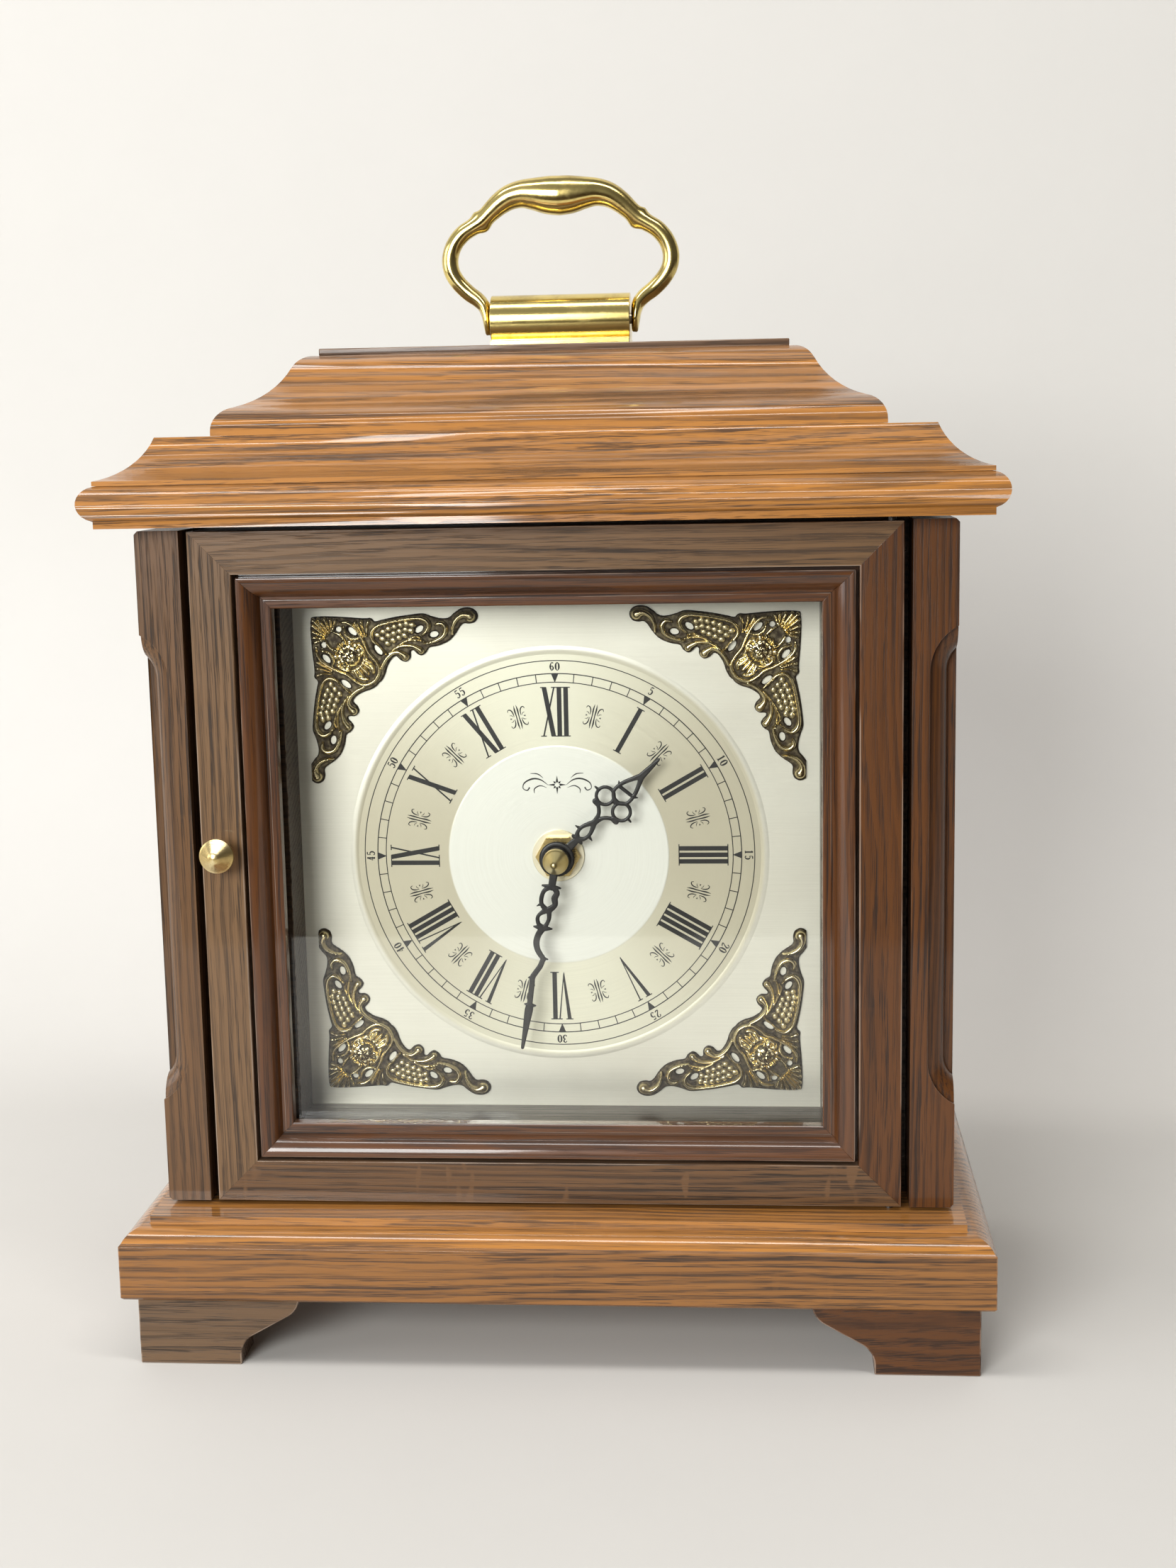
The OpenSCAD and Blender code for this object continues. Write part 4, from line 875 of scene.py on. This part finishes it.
# a plain star with two scrolls above the middle
for mirror in (False, True):
    spot = around(0, 26.0, mirror)
    inkRibbon(smoothLine([(3.4, 0.0, 0.06), (6.0, 1.9, 0.22), (9.0, 2.2, 0.3), (11.8, 0.8, 0.22), (12.4, -1.2, 0.14), (10.9, -2.0, 0.2),
                          (10.0, -0.9, 0.26)], 4), spot)
    inkRibbon(smoothLine([(3.8, -1.0, 0.05), (6.2, -0.3, 0.18), (8.2, -1.4, 0.2), (8.3, -3.0, 0.1)], 4), spot)
    inkRibbon(smoothLine([(5.0, 2.5, 0.05), (7.0, 4.0, 0.2), (9.6, 4.2, 0.08)], 4), spot)
for i in range(8):
    reach = 3.4 if i % 2 == 0 else 1.9
    spot = around(0, 26.0) @ Matrix.Rotation(math.radians(45 * i), 4, "Z")
    inkShape([(0, 0.7), (0.42, 1.1), (0, reach), (-0.42, 1.1)], spot)
bmesh.ops.recalc_face_normals(ink, faces=ink.faces)
inkBlack = plasticMaterial("inkBlack", (0.012, 0.011, 0.010), 0.4, 2.0, 0.00001)
finishPiece("dial_print", ink, inkBlack, bodyOf["dial_plate"], smooth=30)
print("dial printed, strokes:", inkCount[0])


# Hands: pierced and filed strip, each drawn along y from the middle of the dial

handSettings = {
    "hour": {"node": "hour_hand", "level": 6.8, "turn": 45.9, "low": (-10.2, -7.2), "size": (20.4, 60), "cell": 0.15, "hub": 6.4,
             "strokes": [
                 [(0, 5, 1.7), (0, 10.4, 1.2)], [(-1.9, 10.3, 0.6), (1.9, 10.5, 0.6)],
                 [(0, 10.4, 1.3), (-1.6, 12.2, 0.75), (-2.0, 14.4, 0.7), (-1.4, 16.6, 0.8), (0, 19.2, 1.1)],
                 [(0, 10.4, 1.3), (1.6, 12.2, 0.75), (2.0, 14.4, 0.7), (1.4, 16.6, 0.8), (0, 19.2, 1.1)],
                 [(-2.2, 14.0, 0.7), (-3.9, 13.6, 0.2)], [(2.2, 14.2, 0.7), (4.1, 13.9, 0.2)],
                 [(0, 19.2, 1.1), (-0.9, 22.2, 0.75), (-2.6, 24.1, 0.7), (-4.5, 25.0, 0.7)],
                 [(0, 19.2, 1.1), (0.9, 22.2, 0.75), (2.6, 24.1, 0.7), (4.5, 25.0, 0.7)],
                 [(-3.9, 25.0, 1.1), (-5.2, 25.0, 1.1)], [(3.9, 25.0, 1.1), (5.2, 25.0, 1.1)],
                 [(-7.2, 28.8, 0.6), (-9.0, 28.7, 0.3)], [(7.2, 28.8, 0.6), (9.0, 28.7, 0.3)],
                 [(-1.2, 30.4, 0.8), (0, 30.0, 1.1), (1.2, 30.4, 0.8)],
                 [(-1.2, 30.4, 0.8), (-3.3, 32.6, 0.65), (-3.0, 36.6, 0.75), (-1.4, 40.6, 0.85), (0, 43.2, 1.2)],
                 [(1.2, 30.4, 0.8), (3.3, 32.6, 0.65), (3.0, 36.6, 0.75), (1.4, 40.6, 0.85), (0, 43.2, 1.2)],
                 [(-3.0, 35.0, 0.65), (3.0, 35.7, 0.65)], [(-3.6, 35.4, 0.5), (-4.5, 36.2, 0.2)], [(3.6, 35.9, 0.5), (4.5, 36.7, 0.2)],
                 [(0, 43.0, 1.3), (0, 51.0, 0.65), (0, 51.9, 0.15)]],
             "loops": [(-4.1, 28.9, 3.2, 0.62), (4.1, 28.9, 3.2, 0.62)]},
    "minute": {"node": "minute_hand", "level": 9.6, "turn": 190.5, "low": (-6.2, -5.8), "size": (12.4, 79), "cell": 0.15, "hub": 4.9,
               "strokes": [
                   [(0, 4, 1.5), (0, 9.8, 1.3)], [(-3.1, 9.7, 0.35), (0, 9.8, 0.9), (3.4, 9.8, 0.35)],
                   [(0.4, 9.8, 1.0), (2.4, 11.6, 0.8), (3.0, 14.2, 0.8), (2.6, 16.6, 0.8), (0.6, 18.5, 1.1)], [(2.8, 16.6, 0.6), (4.1, 17.6, 0.2)],
                   [(-0.6, 9.8, 1.0), (-2.2, 11.6, 1.0), (-1.7, 13.8, 1.2), (-2.2, 16.2, 1.0), (-0.2, 18.5, 1.3)],
                   [(0.4, 18.5, 1.2), (2.6, 20.4, 0.7), (3.2, 22.2, 0.7), (2.4, 24.2, 0.8), (0.8, 25.4, 1.2)],
                   [(-0.4, 18.5, 1.0), (-0.9, 21.5, 0.75), (-0.2, 24.2, 0.8), (0.8, 25.4, 1.2)],
                   [(-2.5, 25.1, 0.3), (0.8, 25.4, 1.1), (4.0, 25.3, 0.3)],
                   [(0.8, 25.6, 1.2), (1.9, 28.0, 1.15), (2.2, 31.0, 1.15), (1.2, 33.8, 1.05), (-0.9, 36.2, 0.95), (-1.4, 37.0, 0.8)],
                   [(-1.4, 36.4, 0.7), (-2.9, 36.5, 0.2)],
                   [(-1.2, 36.6, 0.95), (-0.6, 39.4, 1.0), (0.6, 42.0, 1.0), (1.5, 44.2, 1.05), (1.3, 47.0, 1.0), (0.9, 54.6, 1.0)],
                   [(1.8, 44.0, 0.7), (3.0, 44.5, 0.2)], [(-1.3, 54.4, 0.25), (0.8, 54.6, 0.9), (2.7, 54.4, 0.25)],
                   [(0.8, 54.6, 1.1), (0.9, 56.4, 1.5), (0.9, 63.0, 1.1), (0.9, 70.8, 0.6)]],
               "loops": []},
}


def makeHandShape(s, thickness=0.7):
    strokes = [smoothLine(line, 5) if len(line) > 2 else np.array(line, float) for line in s["strokes"]]

    def shape(x, y):
        away = np.full(x.shape, 1e9)
        for line in strokes:
            away = np.minimum(away, strokeDistance(x, y, line)[0])
        for cx, cy, radius, half in s["loops"]:
            away = np.minimum(away, np.abs(np.hypot(x - cx, y - cy) - radius) - half)
        middle = np.hypot(x, y)
        away = np.minimum(away, middle - s["hub"])
        rise = np.sqrt(np.clip(1 - (1 - np.clip(-away / 0.5, 0, 1)) ** 2, 0, 1))
        height = thickness * (0.5 + 0.5 * rise)
        # a rolled rim round the hub
        rim = np.clip(1 - ((middle - s["hub"] + 1.1) / 0.9) ** 2, 0, 1)
        inHub = middle < s["hub"]
        return away, height - np.where(inHub, 0.18 * (1 - np.sqrt(rim)), 0)

    return shape


def blackMetal():
    # Black paint on steel, a little uneven in tone
    material, tree, shader, source = startMaterial("handBlack")
    where = inMillimetres(tree, source)
    fine = stretched(tree, where, (1.6, 1.6, 1.6), detail=4.0)
    broad = stretched(tree, where, (0.25, 0.25, 0.25), detail=3.0)
    link(tree, mixColor(tree, mapRange(tree, broad, 0.35, 0.75), (0.010, 0.009, 0.009), (0.030, 0.027, 0.025)), shader.inputs["Base Color"])
    link(tree, mathNode(tree, "MULTIPLY_ADD", fine, 0.25, 0.24), shader.inputs["Roughness"])
    shader.inputs["Specular IOR Level"].default_value = 0.6
    addBump(tree, shader, fine, 0.35, 0.00006)
    return material


handBlack = blackMetal()
for name, s in handSettings.items():
    bm = reliefMesh(makeHandShape(s), s["low"], s["size"], s["cell"])
    bmesh.ops.transform(bm, matrix=onDial(0, s["turn"]) @ Matrix.Translation((0, 0, s["level"])), verts=bm.verts)
    bmesh.ops.recalc_face_normals(bm, faces=bm.faces)
    piece = finishPiece(name + "_hand_metal", bm, handBlack, bodyOf[s["node"]], smooth=50)
    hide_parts(s["node"])
print("hands cut:", len(handSettings))


# Handle: a cast bail swept along its line, on a rolled brass base

# half of the bail from the middle of the grip to the foot of its ear: out, up, thickness in the plane, depth across it
handleSettings = {
    "pivot": (0.0, 36.55, 365.75),
    "half": [(0, 45.2, 7.2, 6.3), (4.5, 45.5, 6.9, 6.1), (9.5, 46.0, 5.9, 5.6), (14, 46.1, 5.1, 5.0), (18.5, 45.0, 4.6, 4.6),
             (22.5, 42.6, 4.1, 4.1), (26.0, 39.6, 3.6, 3.6), (29.2, 36.7, 3.2, 3.2), (32.6, 34.6, 3.15, 3.15), (36.4, 32.2, 3.15, 3.15),
             (39.6, 28.4, 3.1, 3.1), (41.3, 23.6, 3.1, 3.1), (40.9, 18.8, 3.05, 3.05), (38.6, 14.6, 3.0, 3.0), (34.9, 10.8, 2.95, 3.1),
             (31.4, 8.2, 2.8, 3.6), (29.1, 5.6, 2.5, 4.2), (28.2, 2.6, 2.0, 4.8), (27.9, 0, 1.7, 5.0), (27.7, -2.4, 1.45, 4.4),
             (27.6, -4.2, 1.2, 2.8), (27.55, -5.0, 0.8, 0.9)],
    "cusp": (29.6, 36.5), "segments": 28,
}


def makeBail():
    s = handleSettings
    right = smoothLine(s["half"], 5)
    left = right[::-1][:-1] * np.array([-1, 1, 1, 1])
    line = np.vstack([left, right])
    along = np.gradient(line[:, :2], axis=0)
    along /= np.linalg.norm(along, axis=1)[:, None]
    pivot = Vector(s["pivot"])
    bm = bmesh.new()
    rings = []
    for (x, z, thick, deep), (tx, tz) in zip(line, along):
        ring = bmesh.ops.create_circle(bm, segments=s["segments"], radius=1)["verts"]
        # the joint of the two curves is drawn out to a soft edge in the plane of the bail
        away = math.hypot(abs(x) - s["cusp"][0], z - s["cusp"][1])
        edge = 1.1 * math.exp(-(away / 2.0) ** 2)
        for v in ring:
            c, d = v.co.x, v.co.y
            out = c * (thick + edge * abs(c) ** 5)
            v.co = Vector((x - tz * out, d * deep, z + tx * out)) + pivot
        rings.append(ring)
    for a, b in zip(rings[:-1], rings[1:]):
        loops = {e for v in a + b for e in v.link_edges if e.other_vert(v) in a or e.other_vert(v) in b}
        loops = [e for e in loops if (e.verts[0] in a) == (e.verts[1] in a)]
        bmesh.ops.bridge_loops(bm, edges=loops)
    for ring in (rings[0], rings[-1]):
        bmesh.ops.contextual_create(bm, geom=ring)
    bmesh.ops.transform(bm, matrix=Matrix.Scale(mm, 4), verts=bm.verts)
    bmesh.ops.recalc_face_normals(bm, faces=bm.faces)
    return bm


brassTones = {"clean": (0.83, 0.66, 0.24), "tarnish": (0.26, 0.18, 0.07)}


def castBrass(name, amount, rough, brushed=0.0, turn=(0, 0, 0)):
    return metalMaterial(name, brassTones["clean"], brassTones["tarnish"], amount, rough, brushed, turn, bump=0.12)


handleBrass = castBrass("handleBrass", 0.55, 0.13)
baseBrass = castBrass("rolledBrass", 0.45, 0.15, brushed=0.15)
piece = finishPiece("handle_bail_cast", makeBail(), handleBrass, bodyOf["handle_bail"], smooth=60)
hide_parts("handle_bail", "handle_ears")
bm = easeEdges(fromNode("handle_base"), 0.25, 0, sharpAngle=35)
piece = finishPiece("handle_base_brass", bm, baseBrass, bodyOf["handle_base"], weighted=True)
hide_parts("handle_base")
print("handle swept")


# Small metalwork, glass and the movement

def turnedBrass(name, centre, axis, amount=0.25, rough=0.2, clean=(0.84, 0.66, 0.28), depth=0.35):
    # Lathe rings about one axis through the piece, with a painted highlight wedge and painted shade around that axis
    material, tree, shader, source = startMaterial(name)
    where = inMillimetres(tree, source, (0, 0, 0), centre)
    split = addNode(tree, "ShaderNodeSeparateXYZ")
    link(tree, where, split.inputs[0])
    a, b = [split.outputs[i] for i in range(3) if i != "xyz".index(axis)]
    radius = mathNode(tree, "SQRT", mathNode(tree, "MULTIPLY_ADD", a, a, mathNode(tree, "MULTIPLY", b, b)))
    angle = mathNode(tree, "ARCTAN2", a, b)
    rings = addNode(tree, "ShaderNodeTexNoise")
    turned = addNode(tree, "ShaderNodeCombineXYZ")
    link(tree, mathNode(tree, "MULTIPLY", radius, 6.0), turned.inputs[0])
    setInputs(rings, {"Scale": 1.0, "Detail": 2.0})
    link(tree, turned.outputs[0], rings.inputs["Vector"])
    # a painted highlight wedge round the axis, and painted shade, dark brown, away from it
    paintedSheenWedge = mathNode(tree, "POWER", mathNode(tree, "ABSOLUTE", mathNode(tree, "COSINE", mathNode(tree, "ADD", angle, -0.25))), 3.0)
    wear = useGroup(tree, metalGroup, {"Clean Color": clean, "Tarnish Color": (0.25, 0.15, 0.06), "Tarnish": amount, "Roughness": rough},
                    Vector=where)
    tone = mixColor(tree, mathNode(tree, "MULTIPLY", paintedSheenWedge, 0.55), wear.outputs["Color"], (0.98, 0.86, 0.55))
    shade = mathNode(tree, "MULTIPLY", mathNode(tree, "SUBTRACT", 1.0, paintedSheenWedge), depth)
    link(tree, mixColor(tree, shade, tone, (0.34, 0.20, 0.07)), shader.inputs["Base Color"])
    link(tree, mathNode(tree, "MULTIPLY_ADD", rings.outputs["Fac"], 0.2, wear.outputs["Roughness"]), shader.inputs["Roughness"])
    shader.inputs["Metallic"].default_value = 1.0
    addBump(tree, shader, rings.outputs["Fac"], 0.25, 0.00008)
    return material


def glassMaterial():
    # Thin pane: lets light straight through and mirrors at a slant, with faint smears
    material, tree, shader, source = startMaterial("paneGlass")
    where = inMillimetres(tree, source)
    tree.nodes.remove(shader)
    clear = addNode(tree, "ShaderNodeBsdfTransparent")
    clear.inputs["Color"].default_value = (0.985, 0.99, 0.985, 1)
    mirror = addNode(tree, "ShaderNodeBsdfGlossy")
    smear = stretched(tree, where, (0.03, 0.03, 0.012), detail=4.0, distortion=0.6)
    link(tree, mathNode(tree, "MULTIPLY_ADD", mapRange(tree, smear, 0.5, 0.75), 0.05, 0.015), mirror.inputs["Roughness"])
    fresnel = addNode(tree, "ShaderNodeFresnel")
    fresnel.inputs["IOR"].default_value = 1.45
    blend = addNode(tree, "ShaderNodeMixShader")
    link(tree, fresnel.outputs[0], blend.inputs[0])
    link(tree, clear.outputs[0], blend.inputs[1])
    link(tree, mirror.outputs[0], blend.inputs[2])
    link(tree, blend.outputs[0], tree.nodes["Material Output"].inputs["Surface"])
    return material


def boardMaterial():
    # Brown circuit board with a copper pattern under lacquer
    material, tree, shader, source = startMaterial("circuitBoard")
    where = inMillimetres(tree, source)
    cells = addNode(tree, "ShaderNodeTexVoronoi", feature="DISTANCE_TO_EDGE")
    cells.inputs["Scale"].default_value = 0.35
    link(tree, where, cells.inputs["Vector"])
    tracks = mapRange(tree, cells.outputs["Distance"], 0.10, 0.14)
    weave = stretched(tree, where, (1.5, 1.5, 1.5), detail=2.0)
    ground = mixColor(tree, weave, (0.10, 0.055, 0.02), (0.14, 0.08, 0.03))
    link(tree, mixColor(tree, tracks, ground, (0.30, 0.15, 0.05)), shader.inputs["Base Color"])
    setInputs(shader, {"Roughness": 0.35, "Coat Weight": 0.4})
    addBump(tree, shader, tracks, 0.3, 0.0001)
    return material


def cellMaterial():
    # Shrunk sleeve in two plain colours with a gold band between
    material, tree, shader, source = startMaterial("cellSleeve")
    low, high, centre = place("battery")
    where = inMillimetres(tree, source, (0, 0, 0), centre)
    split = addNode(tree, "ShaderNodeSeparateXYZ")
    link(tree, where, split.inputs[0])
    x = split.outputs[0]
    tone = mixColor(tree, mapRange(tree, x, 11.0, 11.3, smooth=False), (0.02, 0.02, 0.022), (0.55, 0.30, 0.10))
    tone = mixColor(tree, mapRange(tree, x, 23.4, 23.6, smooth=False), tone, (0.62, 0.60, 0.56))
    scuff = stretched(tree, where, (0.4, 0.4, 0.4), detail=4.0)
    link(tree, mixColor(tree, mathNode(tree, "MULTIPLY", mapRange(tree, scuff, 0.6, 0.75), 0.25), tone, (0.30, 0.29, 0.27)),
         shader.inputs["Base Color"])
    link(tree, mathNode(tree, "MULTIPLY_ADD", scuff, 0.2, 0.2), shader.inputs["Roughness"])
    shader.inputs["Metallic"].default_value = 0.35
    return material


steel = metalMaterial("brightSteel", (0.62, 0.61, 0.58), (0.28, 0.24, 0.20), 0.45, 0.28, 0.3)
# near-black steel for the door pins and bushes: painted shade, so they stay as dark as the gap round the door
pinShadeSteel = metalMaterial("doorGapShadeSteel", (0.09, 0.085, 0.08), (0.05, 0.035, 0.025), 0.6, 0.45, 0.1)
cutBrass = metalMaterial("cutBrass", (0.78, 0.58, 0.24), (0.40, 0.27, 0.11), 0.35, 0.25, 0.5)
housing = plasticMaterial("housingPlastic", (0.016, 0.016, 0.017), 0.42, 1.8, 0.00006)
knobPlastic = plasticMaterial("knobPlastic", (0.022, 0.021, 0.020), 0.35, 2.4, 0.00004)
trimSettings = {
    "door_knob": (turnedBrass("knobBrass", place("door_knob")[2], "y", 0.35, 0.16), 0.25, 25),
    "back_knob": (turnedBrass("pullBrass", place("back_knob")[2], "y", 0.5, 0.22), 0.25, 25),
    "hand_nut": (turnedBrass("nutBrass", place("hand_nut")[2], "y", 0.2, 0.2), 0.12, 25),
    "dial_washer": (turnedBrass("washerBrass", place("dial_washer")[2], "y", 0.15, 0.3, (0.92, 0.86, 0.66), 0.12), 0.12, 30),
    "mounting_nut": (cutBrass, 0.15, 28), "hour_wheel": (cutBrass, 0.03, 40), "motion_wheel": (cutBrass, 0.03, 40),
    "door_bushes": (pinShadeSteel, 0.15, 30), "door_pins": (pinShadeSteel, 0.12, 30), "door_strike": (steel, 0.25, 30), "back_pins": (steel, 0.12, 30),
    "minute_arbor": (steel, 0.1, 30), "handle_pins": (steel, 0.2, 30), "door_magnet": (housing, 0.3, 30),
    "movement_case": (housing, 0.35, 40), "movement_cover": (housing, 0.35, 40), "set_knob": (knobPlastic, 0.15, 30),
    "circuit_board": (boardMaterial(), 0.05, 40), "battery": (cellMaterial(), 0.25, 40), "door_glass": (glassMaterial(), 0.15, 40),
}
for node, (material, ease, angle) in trimSettings.items():
    bm = easeEdges(fromNode(node), ease, 0, sharpAngle=angle)
    piece = finishPiece(node + "_trim", bm, material, bodyOf[node], weighted=True)
    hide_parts(node)
print("trim finished:", len(trimSettings))


# Floor, light and camera ---------------------------------------------------

stageSettings = {"floor": (0.62, 0.60, 0.57), "wallDistance": 0.5, "floorHalf": 3.0, "floorFront": -0.66, "curve": 0.3}


def makeStage():
    # Floor and wall in one sheet with a swept corner
    s = stageSettings
    bm = bmesh.new()
    half = s["floorHalf"]
    start = bmesh.ops.create_grid(bm, x_segments=1, y_segments=1, size=1)
    for v in start["verts"]:
        v.co = Vector((v.co.x * half, s["floorFront"] if v.co.y < 0 else s["wallDistance"] - s["curve"], 0))
    edge = [e for e in bm.edges if all(v.co.y > 0 for v in e.verts)]
    steps = 12
    for i in range(1, steps + 1):
        angle = math.pi / 2 * i / steps
        made = bmesh.ops.extrude_edge_only(bm, edges=edge)["geom"]
        edge = [g for g in made if isinstance(g, bmesh.types.BMEdge)]
        for v in {v for e in edge for v in e.verts}:
            v.co.y = s["wallDistance"] - s["curve"] + s["curve"] * math.sin(angle)
            v.co.z = s["curve"] * (1 - math.cos(angle))
    made = bmesh.ops.extrude_edge_only(bm, edges=edge)["geom"]
    for v in [g for g in made if isinstance(g, bmesh.types.BMVert)]:
        v.co.z = 2.4
    bmesh.ops.recalc_face_normals(bm, faces=bm.faces)
    if min(bm.faces, key=lambda f: f.calc_center_median().z).normal.z < 0:
        bmesh.ops.reverse_faces(bm, faces=bm.faces)
    mesh = bpy.data.meshes.new("stage")
    bm.to_mesh(mesh)
    bm.free()
    mesh.shade_smooth()
    material, tree, shader, source = startMaterial("palePaint")
    where = inMillimetres(tree, source)
    mottle = stretched(tree, where, (0.02, 0.02, 0.02), detail=5.0)
    link(tree, mixColor(tree, mottle, s["floor"], tuple(c * 1.03 for c in s["floor"])), shader.inputs["Base Color"])
    shader.inputs["Roughness"].default_value = 0.75
    # seen from behind, the wall lets the view through
    clear = addNode(tree, "ShaderNodeBsdfTransparent")
    geometry = addNode(tree, "ShaderNodeNewGeometry")
    blend = addNode(tree, "ShaderNodeMixShader")
    link(tree, geometry.outputs["Backfacing"], blend.inputs[0])
    link(tree, shader.outputs[0], blend.inputs[1])
    link(tree, clear.outputs[0], blend.inputs[2])
    link(tree, blend.outputs[0], tree.nodes["Material Output"].inputs["Surface"])
    mesh.materials.append(material)
    stage = bpy.data.objects.new("stage", mesh)
    bpy.context.scene.collection.objects.link(stage)


lightSettings = {
    "window": {"at": (-0.75, -2.05, 0.80), "to": (0, 0, 0.2), "size": (1.0, 0.9), "watts": 47, "tint": (0.97, 0.99, 0.98)},
    "side": {"at": (-1.6, -0.5, 0.6), "to": (0, 0, 0.2), "size": (1.0, 1.0), "watts": 9, "tint": (0.97, 0.98, 1.0)},
    "ceiling": {"at": (-0.1, -0.55, 1.8), "to": (0, 0, 0.3), "size": (2.4, 0.22), "watts": 20, "tint": (1.0, 0.98, 0.95)},
}


def makeLights():
    for name, s in lightSettings.items():
        lamp = bpy.data.lights.new(name, "AREA")
        lamp.shape = "RECTANGLE"
        lamp.size, lamp.size_y = s["size"]
        lamp.energy = s["watts"]
        lamp.color = s["tint"]
        holder = bpy.data.objects.new(name, lamp)
        holder.location = s["at"]
        aim = Vector(s["to"]) - Vector(s["at"])
        holder.rotation_mode = "QUATERNION"
        holder.rotation_quaternion = aim.to_track_quat("-Z", "Y")
        bpy.context.scene.collection.objects.link(holder)
    world = bpy.data.worlds.new("paleRoom")
    world.use_nodes = True
    tree = world.node_tree
    background = tree.nodes["Background"]
    coordinates = addNode(tree, "ShaderNodeTexCoord")
    split = addNode(tree, "ShaderNodeSeparateXYZ")
    link(tree, coordinates.outputs["Generated"], split.inputs[0])
    rise = mapRange(tree, split.outputs[2], -0.25, 0.15)
    side = mapRange(tree, split.outputs[0], 0.6, -0.8)
    room = mixColor(tree, side, (0.20, 0.19, 0.18), (0.95, 0.97, 1.0))
    link(tree, mixColor(tree, rise, (0.10, 0.07, 0.05), room), background.inputs["Color"])
    background.inputs["Strength"].default_value = 0.5
    bpy.context.scene.world = world


cameraSettings = {
    "at": (0.07218, -0.76226, 0.32218), "lens": 48.01, "sensor": 36,
    "right": (0.99672, 0.07865, -0.01925), "down": (-0.00606, -0.16457, -0.98635), "view": (-0.08075, 0.98322, -0.16355),
}


def makeCamera():
    s = cameraSettings
    data = bpy.data.cameras.new("camera")
    data.sensor_width = s["sensor"]
    data.lens = s["lens"]
    camera = bpy.data.objects.new("camera", data)
    columns = [Vector(s["right"]).normalized(), -Vector(s["down"]).normalized(), -Vector(s["view"]).normalized()]
    turn = Matrix(columns).transposed().to_4x4()
    camera.matrix_world = Matrix.Translation(s["at"]) @ turn
    bpy.context.scene.collection.objects.link(camera)
    bpy.context.scene.camera = camera


makeStage()
makeLights()
makeCamera()
bpy.context.scene.view_settings.view_transform = "Standard"
print("stage, lights and camera set")
